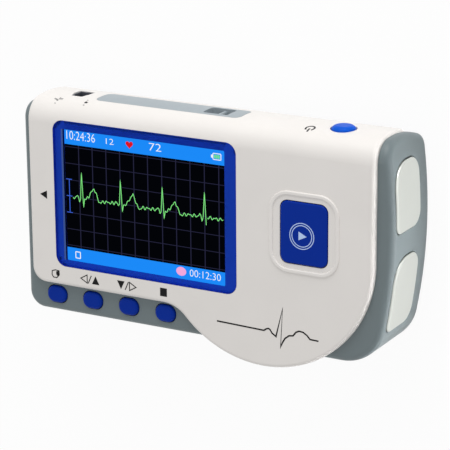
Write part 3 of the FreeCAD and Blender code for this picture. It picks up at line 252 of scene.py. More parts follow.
class InsideFinish(PropertyGroup):
    """Socket, screws and the pieces inside."""
    socket: colour("Socket", "Cable socket", 76, 79, 89)
    black: colour("Black plastic", "Chips and switches", 28, 29, 31)
    grain: length("Grain", "Width of the moulded grain", 0.3)
    grain_depth: length("Grain depth", "Depth of the moulded grain", 0.005)
    gloss: share("Roughness", "Roughness of the socket, the chips and the switches", 0.45)
    gold: colour("Gold", "Contacts in the socket", 214, 178, 104)
    spring: colour("Spring steel", "Springs and battery plates", 196, 198, 200)
    screw: colour("Screw steel", "Screws", 176, 178, 180)
    board: colour("Board", "Solder mask of the board", 18, 84, 50)
    track: colour("Tracks", "Tracks on the board", 44, 128, 76)
    wrap: colour("Cell wrap", "Wrap of the battery cells", 38, 44, 52)
    band: colour("Cell band", "Pale band of the battery cells", 188, 192, 196)
    cap: colour("Cell ends", "Bare metal ends of the battery cells", 206, 204, 198)
    cap_reach: length("Cell end length", "Bare metal at each end of the battery cells", 1.6)
    mat: colour("Keypad mat", "Rubber under the menu keys", 70, 74, 78)


class StageSetup(PropertyGroup):
    """Camera, lamps and floor."""
    camera_place: location("Camera", "Place of the camera", 294.83, 182.83, 538.81)
    camera_aim: location("Aim", "Point in the middle of the view", 2.01, 0.6, 13.9)
    camera_roll: angle("Roll", "Turn of the camera about its own line of sight", 0.444)
    lens: FloatProperty(name="Lens", description="Focal length on a sensor 36 mm wide", default=176.0,
                        unit="CAMERA")
    floor: share("Floor", "How pale the floor is", 0.9)
    floor_white: share("Floor white", "How far the floor is plain white to the camera", 0.94)
    ambient: FloatProperty(name="Ambient", description="Light from all round", default=0.79, min=0.0)
    top_lamp: power("Top lamp", "Lamp on the power key's side", 3.35)
    top_lamp_place: location("Top lamp place", "Middle of the top lamp", 50.0, 750.0, 250.0)
    top_lamp_size: length("Top lamp size", "Width of the top lamp", 500.0)
    end_lamp: power("End lamp", "Lamp on the electrodes' side", 0.3)
    end_lamp_place: location("End lamp place", "Middle of the end lamp", 800.0, 100.0, 180.0)
    end_lamp_size: length("End lamp size", "Width of the end lamp", 340.0)
    floor_lamp: power("Floor lamp", "Lamp over the floor beside the electrodes, which throws its light up",
                      60.0)
    floor_lamp_place: location("Floor lamp place", "Place of the floor lamp", 165.0, -30.0, 500.0)
    floor_lamp_beam: angle("Floor lamp beam", "Whole angle of the floor lamp's beam", 21.0)
    floor_lamp_size: length("Floor lamp size", "Radius of the floor lamp", 10.0)


GROUPS = {
    "monitor_shells": ShellFinish,
    "monitor_keys": KeyFinish,
    "monitor_screen": ScreenPicture,
    "monitor_marks": PrintedMarks,
    "monitor_electrodes": ElectrodeFinish,
    "monitor_inside": InsideFinish,
    "monitor_stage": StageSetup,
}


# ---------------------------------------------------------------- shader building
PURE_BLACK = (0.0, 0.0, 0.0, 1.0)
PURE_WHITE = (1.0, 1.0, 1.0, 1.0)


class Wire:
    """A number or colour on its way through a shader; sums on it add Math nodes."""

    def __init__(self, tree, socket):
        self.tree = tree
        self.socket = socket

    def _math(self, operation, *values):
        return self.tree.node("ShaderNodeMath", {"operation": operation}, dict(enumerate(values)))

    def __add__(self, other):
        return self._math("ADD", self, other)

    def __radd__(self, other):
        return self._math("ADD", other, self)

    def __sub__(self, other):
        return self._math("SUBTRACT", self, other)

    def __rsub__(self, other):
        return self._math("SUBTRACT", other, self)

    def __mul__(self, other):
        return self._math("MULTIPLY", self, other)

    def __rmul__(self, other):
        return self._math("MULTIPLY", other, self)

    def __gt__(self, other):
        return self._math("GREATER_THAN", self, other)

    def __lt__(self, other):
        return self._math("LESS_THAN", self, other)

    def __abs__(self):
        return self._math("ABSOLUTE", self)

    def folded(self, period):
        """The number, folded back and forth between 0 and a period."""
        return self._math("PINGPONG", self, period)

    def at_least(self, level):
        """The number, or a level where the number is lower."""
        return self._math("MAXIMUM", self, level)


class Tree:
    """A node tree being filled."""

    def __init__(self, owner):
        owner.use_nodes = True
        self.tree = owner.node_tree
        self.tree.nodes.clear()

    def node(self, kind, settings=None, inputs=None, output=0):
        """Add a node: its settings first, then the values or links of its sockets."""
        node = self.tree.nodes.new(kind)
        for key, value in (settings or {}).items():
            setattr(node, key, value)
        for key, value in (inputs or {}).items():
            if isinstance(value, Wire):
                self.tree.links.new(value.socket, node.inputs[key])
            else:
                node.inputs[key].default_value = value
        return Wire(self, node.outputs[output]) if node.outputs else None

    def blend(self, factor, first, second):
        """A shader between two shaders."""
        return self.node("ShaderNodeMixShader", {}, {0: factor, 1: first, 2: second})

    def seen_directly(self):
        """1 for what the camera sees by itself, in a mirror or through glass, and 0 for lighting."""
        path = "ShaderNodeLightPath"
        seen = self.node(path, output="Is Camera Ray") + self.node(path, output="Is Glossy Ray")
        return seen + self.node(path, output="Is Transmission Ray")


class Finish(Tree):
    """A material being made."""

    def __init__(self, name):
        self.material = bpy.data.materials.new(name)
        super().__init__(self.material)
        self.place = self.node("ShaderNodeTexCoord", output="Object")

    def noise(self, size, detail=2.0, scale=None):
        """Soft noise whose spots are about size metres wide, and longer along an axis of smaller scale."""
        place = self.place
        if scale:
            place = self.node("ShaderNodeMapping", {}, {"Vector": place, "Scale": scale})
        return self.node("ShaderNodeTexNoise", {}, {"Vector": place, "Scale": 1.0 / size, "Detail": detail})

    def mix(self, factor, first, second):
        """A colour between two colours."""
        return self.node("ShaderNodeMix", {"data_type": "RGBA"},
                         {0: factor, 6: solid(first), 7: solid(second)}, output=2)

    def bump(self, height, distance):
        """A normal that follows a height from 0 to 1."""
        return self.node("ShaderNodeBump", {}, {"Height": height, "Distance": distance, "Strength": 1.0})

    def axis(self, index):
        """One of the three numbers of the place on the surface."""
        return self.node("ShaderNodeSeparateXYZ", {}, {"Vector": self.place}, output=index)

    def surface(self, **inputs):
        """The main shader, with its sockets named as words joined by underscores."""
        named = {key.replace("_", " "): value for key, value in inputs.items()}
        return self.node("ShaderNodeBsdfPrincipled", {}, named)

    def done(self, shader):
        """Show a shader on the surface."""
        self.node("ShaderNodeOutputMaterial", {}, {"Surface": shader})
        return self.material


def solid(shade):
    """A colour with its alpha, or a wire as it is."""
    return shade if isinstance(shade, Wire) else (*tuple(shade)[:3], 1.0)


def scaled(shade, factor):
    """A colour made lighter or darker."""
    return tuple(min(1.0, level * factor) for level in shade)


def spread(middle, width, noise):
    """A number that follows noise, from half a width below its middle to half a width above."""
    return middle - width / 2 + width * noise


# ---------------------------------------------------------------- finishes
CELL_ROW = 0.165 * MM         # height of a row of the display's cells
PANE_INDEX = 1.3              # how strongly the window bends light
PANE_COATING = 0.03           # what its coating takes off the share of light that it mirrors
TRACK_PITCHES = (1.3 * MM, 1.7 * MM)  # half the distances between tracks, along and across the board
TRACK_WIDTHS = (0.2, 0.16)    # half the widths of the tracks, as shares of those
CELL_BAND = 0.45              # where the band of a battery cell starts, as a share of half its length


def moulded(name, shade, roughness, grain, depth, coat=0.0, mottle=0.03, mirror=0.5):
    """Moulded plastic: a fine spark grain, a faint change of shade and of gloss."""
    finish = Finish(name)
    clouds = finish.noise(size=11 * MM)
    fine = finish.noise(size=grain, detail=3.0)
    return finish.done(finish.surface(
        Base_Color=finish.mix(clouds, scaled(shade, 1 - mottle), scaled(shade, 1 + mottle)),
        Roughness=spread(roughness, 0.12, fine),
        Normal=finish.bump(fine, depth),
        Coat_Weight=coat,
        Coat_Roughness=0.12,
        Specular_IOR_Level=mirror,
    ))


def brushed(name, shade, roughness, scale=(1.0, 0.04, 1.0)):
    """Plated metal with fine lines along the axis of the smallest scale."""
    finish = Finish(name)
    lines = finish.noise(size=0.12 * MM, scale=scale)
    patches = finish.noise(size=5 * MM)
    return finish.done(finish.surface(
        Base_Color=finish.mix(patches, scaled(shade, 0.97), shade),
        Metallic=1.0,
        Roughness=spread(roughness, 0.1, lines),
        Normal=finish.bump(lines, 0.004 * MM),
    ))


def printed(name, shade, roughness=0.45, mirror=0.5):
    """Ink: nearly even, with a faintly uneven gloss."""
    finish = Finish(name)
    fine = finish.noise(size=0.3 * MM)
    return finish.done(finish.surface(
        Base_Color=finish.mix(fine, scaled(shade, 0.94), scaled(shade, 1.06)),
        Roughness=spread(roughness, 0.1, fine),
        Specular_IOR_Level=mirror,
    ))


def lit(name, shade):
    """A lit part of the screen picture, with the faint rows of the display's cells."""
    finish = Finish(name)
    rows = (finish.axis(1) * (1.0 / CELL_ROW)).folded(0.5) * 2.0
    return finish.done(finish.surface(
        Base_Color=PURE_BLACK,
        Specular_IOR_Level=0.0,
        Roughness=1.0,
        Emission_Color=finish.mix(rows, scaled(shade, 0.93), shade),
        Emission_Strength=1.0,
    ))


def window_pane(name, edge):
    """Clear window: coated, so that only its outer face shines, and only at low angles; a painted rim."""
    finish = Finish(name)
    outer = finish.axis(2) > middle_of("display_window").z
    normal = finish.node("ShaderNodeNewGeometry", output="True Normal")
    upright = abs(finish.node("ShaderNodeSeparateXYZ", {}, {"Vector": normal}, output="Z")) < 0.5
    clear = finish.node("ShaderNodeBsdfTransparent", {}, {"Color": PURE_WHITE})
    gloss = finish.node("ShaderNodeBsdfGlossy", {}, {"Roughness": 0.05})
    mirror = finish.node("ShaderNodeFresnel", {}, {"IOR": PANE_INDEX})
    face = finish.blend((mirror - PANE_COATING).at_least(0.0) * outer, clear, gloss)
    paint = finish.surface(Base_Color=solid(edge), Roughness=0.3)
    return finish.done(finish.blend(upright, face, paint))


def board_skin(name, look):
    """Green solder mask with paler tracks under it."""
    finish = Finish(name)
    along, across = ((finish.axis(index) * (1.0 / pitch)).folded(1.0) < width
                     for index, (pitch, width) in enumerate(zip(TRACK_PITCHES, TRACK_WIDTHS)))
    patches = finish.noise(size=4 * MM)
    tracks = along * (patches > 0.5) + across * (patches < 0.45)
    fine = finish.noise(size=0.2 * MM)
    return finish.done(finish.surface(
        Base_Color=finish.mix(tracks, look.board, look.track),
        Roughness=spread(0.375, 0.15, fine),
        Normal=finish.bump(tracks, 0.02 * MM),
    ))


def cell_skin(name, look):
    """Wrapped battery cells: a dark body, a pale band and bare metal ends, set out from the first cell."""
    finish = Finish(name)
    low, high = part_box("battery_cell_1")
    half = (high.x - low.x) / 2
    away = abs(finish.axis(0) - middle_of("battery_cell_1").x)
    bare = away > half - look.cap_reach
    band = away > half * CELL_BAND
    fine = finish.noise(size=0.4 * MM)
    return finish.done(finish.surface(
        Base_Color=finish.mix(bare, finish.mix(band, look.wrap, look.band), look.cap),
        Metallic=bare,
        Roughness=spread(0.325, 0.15, fine),
    ))


def rubber(name, shade):
    """Soft matt rubber."""
    finish = Finish(name)
    fine = finish.noise(size=0.25 * MM, detail=3.0)
    return finish.done(finish.surface(
        Base_Color=finish.mix(fine, scaled(shade, 0.85), scaled(shade, 1.15)),
        Roughness=spread(0.825, 0.15, fine),
        Normal=finish.bump(fine, 0.01 * MM),
    ))


def added(name, data):
    """A new object in the scene."""
    item = bpy.data.objects.new(name, data)
    bpy.context.scene.collection.objects.link(item)
    return item


def dress(material, *nodes):
    """Give carried-over pieces their finish."""
    for name in nodes:
        for slot in frame["nodes"][name].material_slots:
            slot.material = material


# ---------------------------------------------------------------- flat artwork
ARC_STEPS = 28                # points round a full circle
HEART_WAVES = (13 / 16, -5 / 16, -2 / 16, -1 / 16)      # of the usual formula for a heart's outline
MITRE_LEAST = 0.35            # keeps the sharp corners of a line from reaching far out
DIGIT_STROKE = -0.012         # added to the weight of the font's strokes, as a share of its size
DIGIT_WELD = 0.001            # points of the font's outlines closer than this become one, in the same share
SINK = 0.01 * MM              # how deep artwork sits in what carries it


class Artwork:
    """Thin raised artwork: filled outlines and lines, laid on a surface."""

    def __init__(self, lay, low, high):
        self.mesh = bmesh.new()
        self.lay = lay
        self.low = low
        self.high = high

    def _points(self, points, level):
        return [self.mesh.verts.new(self.lay(x, y, level)) for x, y in points]

    def fill(self, points):
        """A filled outline."""
        low = self._points(points, self.low)
        high = self._points(points, self.high)
        for index in range(len(points)):
            following = (index + 1) % len(points)
            self.mesh.faces.new((low[index], low[following], high[following], high[index]))
        self.mesh.faces.new(high)
        self.mesh.faces.new(list(reversed(low)))

    def line(self, points, width, closed=False):
        """A line of even width through the points, with mitred corners."""
        points = [Vector(point) for point in points]
        total = len(points)
        sides = ([], [])
        for index, point in enumerate(points):
            before = points[index - 1] if closed or index else None
            after = points[(index + 1) % total] if closed or index < total - 1 else None
            ways = [(second - first).normalized() for first, second in ((before, point), (point, after))
                    if first is not None and second is not None]
            normals = [Vector((-way.y, way.x)) for way in ways]
            middle = sum(normals, Vector((0.0, 0.0))).normalized()
            reach = width / 2 / max(middle.dot(normals[0]), MITRE_LEAST)
            sides[0].append(point + middle * reach)
            sides[1].append(point - middle * reach)
        rails = [self._points(side, level) for level in (self.low, self.high) for side in sides]
        left_low, right_low, left_high, right_high = rails
        for index in range(total if closed else total - 1):
            following = (index + 1) % total
            for first, second in ((left_low, left_high), (left_high, right_high),
                                  (right_high, right_low), (right_low, left_low)):
                self.mesh.faces.new((first[index], first[following], second[following], second[index]))
        if not closed:
            self.mesh.faces.new((left_low[0], left_high[0], right_high[0], right_low[0]))
            self.mesh.faces.new((right_low[-1], right_high[-1], left_high[-1], left_low[-1]))

    def bar(self, x0, y0, x1, y1):
        """A filled rectangle."""
        self.fill([(x0, y0), (x1, y0), (x1, y1), (x0, y1)])

    def digits(self, text, x0, y0, x1, y1):
        """Plain digits that fill a box."""
        writing = bpy.data.curves.new("digits", "FONT")
        writing.body = text
        writing.resolution_u = 3
        writing.offset = DIGIT_STROKE
        carrier = bpy.data.objects.new("digits", writing)
        outline = bpy.data.meshes.new_from_object(carrier)
        shape = bmesh.new()
        shape.from_mesh(outline)
        bmesh.ops.remove_doubles(shape, verts=shape.verts, dist=DIGIT_WELD)
        across = [vert.co.x for vert in shape.verts]
        upward = [vert.co.y for vert in shape.verts]
        wide = (x1 - x0) / (max(across) - min(across))
        tall = (y1 - y0) / (max(upward) - min(upward))
        copies = {}
        for level in (self.low, self.high):
            for vert in shape.verts:
                x = x0 + (vert.co.x - min(across)) * wide
                y = y0 + (vert.co.y - min(upward)) * tall
                copies[vert.index, level] = self.mesh.verts.new(self.lay(x, y, level))
        for face in shape.faces:
            for level in (self.low, self.high):
                self.mesh.faces.new([copies[vert.index, level] for vert in face.verts])
        for edge in shape.edges:
            if len(edge.link_faces) == 1:
                first, second = (vert.index for vert in edge.verts)
                self.mesh.faces.new((copies[first, self.low], copies[second, self.low],
                                     copies[second, self.high], copies[first, self.high]))
        shape.free()
        bpy.data.objects.remove(carrier)
        bpy.data.curves.remove(writing)
        bpy.data.meshes.remove(outline)

    def piece(self, name, material, body, slot=None):
        """Turn the artwork into a piece that rides on a body."""
        bmesh.ops.recalc_face_normals(self.mesh, faces=self.mesh.faces)
        bmesh.ops.triangulate(self.mesh, faces=[face for face in self.mesh.faces if len(face.verts) > 4])
        mesh = bpy.data.meshes.new(name)
        self.mesh.to_mesh(mesh)
        self.mesh.free()
        mesh.materials.append(material)
        piece = added(name, mesh)
        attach(piece, body)


def flat(x, y, level):
    """Artwork on a plane square to Z."""
    return Vector((x, y, level))


def arc(x, y, radius, first=0.0, turn=360.0):
    """Points along a circle, from an angle in degrees through a turn."""
    steps = max(2, round(ARC_STEPS * abs(turn) / 360.0))
    closed = abs(turn) >= 360.0
    ways = [math.radians(first + turn * step / steps) for step in range(steps if closed else steps + 1)]
    return [(x + radius * math.cos(way), y + radius * math.sin(way)) for way in ways]


def oval(x, y, wide, tall):
    """Points round an oval, from its middle and half its width and height."""
    return [(x + wide * across, y + tall * up) for across, up in arc(0.0, 0.0, 1.0)]


def rounded(x0, y0, x1, y1, radius):
    """Points round a rectangle with round corners."""
    return (arc(x1 - radius, y1 - radius, radius, 0, 90) + arc(x0 + radius, y1 - radius, radius, 90, 90)
            + arc(x0 + radius, y0 + radius, radius, 180, 90) + arc(x1 - radius, y0 + radius, radius, 270, 90))


def heart_outline(x, y, half):
    """Points round a heart, from its middle and half its width."""
    points = []
    for step in range(ARC_STEPS):
        turn = 2 * math.pi * step / ARC_STEPS
        across = math.sin(turn) ** 3
        up = sum(wave * math.cos((index + 1) * turn) for index, wave in enumerate(HEART_WAVES))
        points.append((x - half * across, y + half * up))
    return points


def middle_of(node):
    """The middle of a carried-over piece."""
    low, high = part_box(node)
    return (low + high) / 2


# ---------------------------------------------------------------- shells and keys
class MONITOR_OT_shells(Operator):
    """Finish the white and grey shells and the strip in the top side"""
    bl_idname = "monitor.shells"
    bl_label = "Shells"

    def execute(self, context):
        look = context.scene.monitor_shells
        skin = look.gloss, look.grain, look.grain_depth
        dress(moulded("white_plastic", look.white, *skin, coat=look.coat), "front_cover")
        dress(moulded("grey_plastic", look.grey, *skin),
              "middle_case", "rear_cover", "right_end_cap", "battery_door")
        dress(moulded("pale_plastic", look.pale, *skin), "top_strip", "lanyard_bar")
        return {"FINISHED"}


# Corners of the triangle on the start key, as shares of its size from the middle of the rings.
TRIANGLE = ((-0.4, 0.5), (-0.4, -0.5), (0.6, 0.0))


class MONITOR_OT_keys(Operator):
    """Finish the keys and print the start key"""
    bl_idname = "monitor.keys"
    bl_label = "Keys"

    def execute(self, context):
        look = context.scene.monitor_keys
        skin = look.gloss, look.grain, look.grain_depth
        blue = moulded("blue_plastic", look.blue, *skin, mottle=0.05, mirror=look.mirror)
        dress(blue, "menu_key_1", "menu_key_2", "menu_key_3", "menu_key_4", "start_key")
        dress(moulded("power_blue_plastic", look.power_blue, *skin, mirror=look.mirror), "power_key")
        middle = middle_of("start_key") + Vector(look.ring_place)
        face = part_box("start_key")[1].z
        art = Artwork(flat, face - SINK, face + look.thick)
        for radius in (look.ring_outer, look.ring_inner):
            art.line(arc(middle.x, middle.y, radius), look.ring_line, closed=True)
        art.fill([(middle.x + x * look.triangle, middle.y + y * look.triangle) for x, y in TRIANGLE])
        art.piece("start_key_print", printed("key_print", look.mark, roughness=0.4), "start_key")
        return {"FINISHED"}


# ---------------------------------------------------------------- display
# One heartbeat: millimetres from its high point, and above the resting trace.
BEAT = ((-2.3, 0.0), (-1.6, 0.6), (-1.15, 0.0), (-0.85, -0.7), (-0.45, 0.2), (0.0, 7.2), (0.5, -2.3),
        (0.9, 0.0), (1.6, 0.1), (2.3, 0.7), (2.8, 1.8), (3.5, 2.5), (4.2, 3.5), (4.8, 2.3), (5.2, 0.9),
        (5.7, -0.1), (6.4, -0.5), (7.4, 0.0))
BEAT_PLACES = (5.47, 18.62, 32.52, 46.25)     # of the high points, in millimetres
BEAT_SHARES = (1.0, 1.0, 0.9, 0.96)           # heights of the four beats, as shares of BEAT
SPIKE_END = 0.9               # where a beat's spike is over, in millimetres after its high point
TRACE_STEP = 0.1              # distance between points of the trace, in millimetres
TREMOR_WAVES = ((0.65, 1.0, 0.0), (0.5, 1.63, 1.0))     # share of its height, pace and start of each wave

# Left, lower, right and upper edge of the signs, in millimetres from the corner of the lit area.
CLOCK_BOX = (0.75, 36.65, 10.4, 39.2)
SCALE_BOX = (14.1, 36.75, 16.65, 38.45)
RATE_BOX = (28.4, 36.65, 32.4, 38.85)
COUNT_BOX = (41.2, 1.2, 51.3, 3.3)
BATTERY_BOX = (49.1, 36.6, 51.65, 38.35)
BATTERY_TIP = (48.5, 37.05, 49.0, 37.9)
CHARGE_BOXES = [(left, 36.95, left + 0.5, 38.0) for left in (49.45, 50.1, 50.75)]
FRAME_BOX = (2.8, 1.0, 4.4, 2.9)
# Radius of the corners and width of the lines of the battery and of the frame sign, in millimetres.
BATTERY_LINE = (0.25, 0.24)
FRAME_LINE = (0.2, 0.28)
HEART = (21.9, 37.5, 1.22)            # its middle and half its width, in millimetres
DOT = (38.4, 2.25, 1.63, 1.32)        # its middle, half its width and half its height, in millimetres
PICTURE_LAYER = 0.025 * MM    # thickness of a layer of the lit picture


def beat_height(time, whole):
    """Height of a heartbeat, or of its spike alone, at a distance from its high point in millimetres."""
    if time >= SPIKE_END and not whole:
        return 0.0
    for (first, low), (second, high) in zip(BEAT, BEAT[1:]):
        if first <= time < second:
            return low + (high - low) * (time - first) / (second - first)
    return 0.0


def trace_places(first, last):
    """Places of the trace's points between two ends: even steps, and the corners of the beats."""
    places = [first + TRACE_STEP * step for step in range(int((last - first) / TRACE_STEP) + 1)]
    places += [peak + time for peak in BEAT_PLACES for time, _ in BEAT if first < peak + time < last]
    return sorted({round(x, 2) for x in places})


class Picture:
    """The lit picture in thin layers on the display panel, and the lines printed at its left."""

    def __init__(self, look):
        self.look = look
        low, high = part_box("display_window")
        self.x = low.x + look.border_left
        self.y = low.y + look.border_foot
        self.wide = high.x - look.border_right - self.x
        self.tall = high.y - look.border_top - self.y
        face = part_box("display_panel")[1].z
        self.levels = [face - SINK] + [face + PICTURE_LAYER * step for step in (1, 2, 3)]

    def layer(self, low, high):
        """Artwork between two of the picture's levels, with its places taken from the picture's corner."""
        def lay(x, y, level):
            return Vector((self.x + x, self.y + y, level))
        return Artwork(lay, self.levels[low], self.levels[high])

    def show(self, art, name, shade):
        """Turn artwork into a lit piece of the picture."""
        art.piece(name, lit(name, shade), CASE, "display_glass")

    def draw_ground(self):
        """The dark field with its grid, and the bars above and below it."""
        look = self.look
        field_high = self.tall - look.top_bar
        art = self.layer(0, 1)
        art.bar(0.0, look.low_bar, self.wide, field_high)
        self.show(art, "screen_field", look.field)

        art = self.layer(0, 2)
        for column in range(look.columns):
            x = look.column_start + look.column_pitch * column - look.column_line / 2
            art.bar(x, look.low_bar, x + look.column_line, field_high)
        for row in range(look.rows):
            y = look.row_start - look.row_pitch * row - look.row_line / 2
            art.bar(0.0, y, self.wide, y + look.row_line)
        self.show(art, "screen_grid", look.grid)

        art = self.layer(0, 2)
        art.bar(0.0, field_high, self.wide, self.tall)
        art.bar(0.0, 0.0, self.wide, look.low_bar)
        self.show(art, "screen_bars", look.bar)

    def trace_point(self, x):
        """The trace's point at a distance in millimetres from the picture's left edge."""
        beats = sum(part * beat_height(x - peak, peak != BEAT_PLACES[-1])
                    for peak, part in zip(BEAT_PLACES, BEAT_SHARES))
        turn = math.tau * x * MM / self.look.tremor_pitch
        tremor = sum(height * math.sin(turn * pace + start) for height, pace, start in TREMOR_WAVES)
        return x * MM, self.look.base + beats * MM + self.look.tremor * tremor

    def draw_trace(self):
        """Four heartbeats with a little tremor; of the last, only the spike stands before the gap."""
        look = self.look
        art = self.layer(1, 3)
        for first, last in ((look.trace_start, look.gap_start), (look.gap_end, look.trace_end)):
            art.line([self.trace_point(x) for x in trace_places(first / MM, last / MM)], look.trace_line)
        self.show(art, "screen_trace", look.trace)

    def draw_bracket(self):
        """The height mark before the first beat."""
        look = self.look
        art = self.layer(1, 3)
        x, low, high = look.bracket_place, look.bracket_foot, look.bracket_top
        half = look.bracket_line / 2
        art.bar(x - half, low, x + half, high)
        for y in (low, (low + high) / 2, high):
            art.bar(x - look.bracket_left, y - half, x + look.bracket_right, y + half)
        self.show(art, "screen_bracket", look.bracket)

    def draw_signs(self):
        """Digits, heart, battery and the two small signs in the bars."""
        look = self.look
        white = self.layer(2, 3)
        for writing, box in ((look.clock, CLOCK_BOX), (look.scale, SCALE_BOX),
                             (look.rate, RATE_BOX), (look.count, COUNT_BOX)):
            white.digits(writing, *in_metres(box))
        white.bar(*in_metres(BATTERY_TIP))
        for box, (corner, line) in ((BATTERY_BOX, BATTERY_LINE), (FRAME_BOX, FRAME_LINE)):
            white.line(rounded(*in_metres(box), corner * MM), line * MM, closed=True)
        self.show(white, "screen_digits", look.digits)

        charge = self.layer(2, 3)
        for box in CHARGE_BOXES:
            charge.bar(*in_metres(box))
        self.show(charge, "screen_charge", look.charge)

        heart = self.layer(2, 3)
        heart.fill(heart_outline(*in_metres(HEART)))
        self.show(heart, "screen_heart", look.heart)

        dot = self.layer(2, 3)
        dot.fill(oval(*in_metres(DOT)))
        self.show(dot, "screen_dot", look.dot)

    def draw_edge(self):
        """The pale line and the black gap, printed on the border at the left of the picture."""
        look = self.look
        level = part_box("window_mask")[1].z
        for name, first, last, shade in (("edge_print", look.edge_start, look.edge_end, look.edge),
                                         ("gap_print", look.edge_end, 0.0, look.field)):
            art = Artwork(flat, level - look.ink, level + look.ink)
            art.bar(self.x - first, self.y, self.x - last, self.y + self.tall)
            art.piece(name, printed(name, shade, mirror=0.0), CASE)


class MONITOR_OT_display(Operator):
    """Finish the window and its border, and draw the picture on the display"""
    bl_idname = "monitor.display"
    bl_label = "Display"

    def execute(self, context):
        look = context.scene.monitor_screen
        dress(window_pane("clear_pane", look.border), "display_window")
        dress(printed("border_print", look.border, roughness=0.3, mirror=0.0), "window_mask")
        dress(moulded("panel_black", look.panel, roughness=0.3, grain=0.5 * MM, depth=0.002 * MM, mirror=0.0),
              "display_panel")
        dress(moulded("holder_black", look.holder, roughness=0.5, grain=0.4 * MM, depth=0.006 * MM),
              "panel_holder")
        picture = Picture(look)
        picture.draw_ground()
        picture.draw_trace()
        picture.draw_bracket()
        picture.draw_signs()
        picture.draw_edge()
        return {"FINISHED"}


# ---------------------------------------------------------------- marks on the front cover
# Millimetres that each mark stands to the right of its key.
MARK_SHIFTS = (0.8, 0.28, 0.58, 0.54)
# A folded sheet and the dark back of its fold, as shares of half its height.
SHEET = ((-1.25, -0.4), (-1.2, 0.75), (-0.1, 1.15), (1.15, 1.05), (1.2, -0.2), (0.3, -1.15), (-0.8, -1.1))
FOLD = ((0.2, 0.75), (1.15, 1.0), (1.2, -0.2), (0.65, -0.75), (0.15, -0.1))
# Parts of the other marks above the keys, as shares of half their height.
SQUARE_HALF = 0.9             # half the width of the filled square
ARROW_HALF = 0.88             # half the length of the open arrow of a pair
PAIR_REACH = 1.6              # from the middle of a pair to the middle of each arrow
STROKE_LEAN = 0.45            # from the middle of the stroke between them to each end, across
# The printed heartbeat, in millimetres from the middle of the start key.
PULSE_PRINT = ((-27.52, -29.63), (-12.44, -29.98), (-11.71, -29.41), (-11.01, -29.18), (-10.53, -29.42),
               (-9.9, -30.36), (-8.64, -31.18), (-6.59, -22.73), (-7.19, -34.05), (-6.59, -32.62),
               (-5.81, -31.3), (-4.55, -30.29), (-3.3, -30.08), (-2.36, -28.89), (-1.43, -28.41),
               (-0.18, -28.53), (1.06, -29.26), (2.0, -30.28), (4.63, -30.36))
# Strokes on the top side, each a run of places: across the cover, and down its slope, in millimetres.
SOCKET_STROKES = (((-48.4, 6.45), (-48.25, 7.85), (-48.1, 9.25)), ((-49.6, 8.45), (-48.3, 8.0)),
                  ((-48.2, 8.5), (-46.9, 8.7)))
STRIP_STROKE = ((-39.0, 7.1), (-39.1, 8.4), (-39.25, 9.75))
STRIP_SPOT = ((-39.35, 8.0), (-38.45, 8.1), (-38.35, 8.7), (-39.25, 8.9))
POWER_RING = (32.25, 9.9)             # the middle of the ring in the power sign
POWER_RING_TURN = (-50.0, 280.0)      # where that ring starts and how far it turns, in degrees
POWER_STROKE = ((32.25, 9.7), (32.28, 8.9), (32.3, 8.1))
SLOPE_START = 1.0             # how far behind and above the cover the search for its slope starts


class CoverSlope:
    """Lays artwork on the rounded top side of the front cover."""

    def __init__(self):
        mesh = frame["nodes"]["front_cover"].data
        self.skin = BVHTree.FromPolygons([vert.co for vert in mesh.vertices],
                                         [tuple(face.vertices) for face in mesh.polygons])

    def lay(self, x, down, level):
        """The point of the cover that is met from above and behind, at a distance down its slope."""
        slope = math.sqrt(0.5)
        start = Vector((x, down * slope + SLOPE_START, -down * slope + SLOPE_START))
        point, normal, _, _ = self.skin.ray_cast(start, Vector((0.0, -slope, -slope)))
        if point is None:
            raise RuntimeError("No front cover lies under a printed mark")
        return point + normal * level


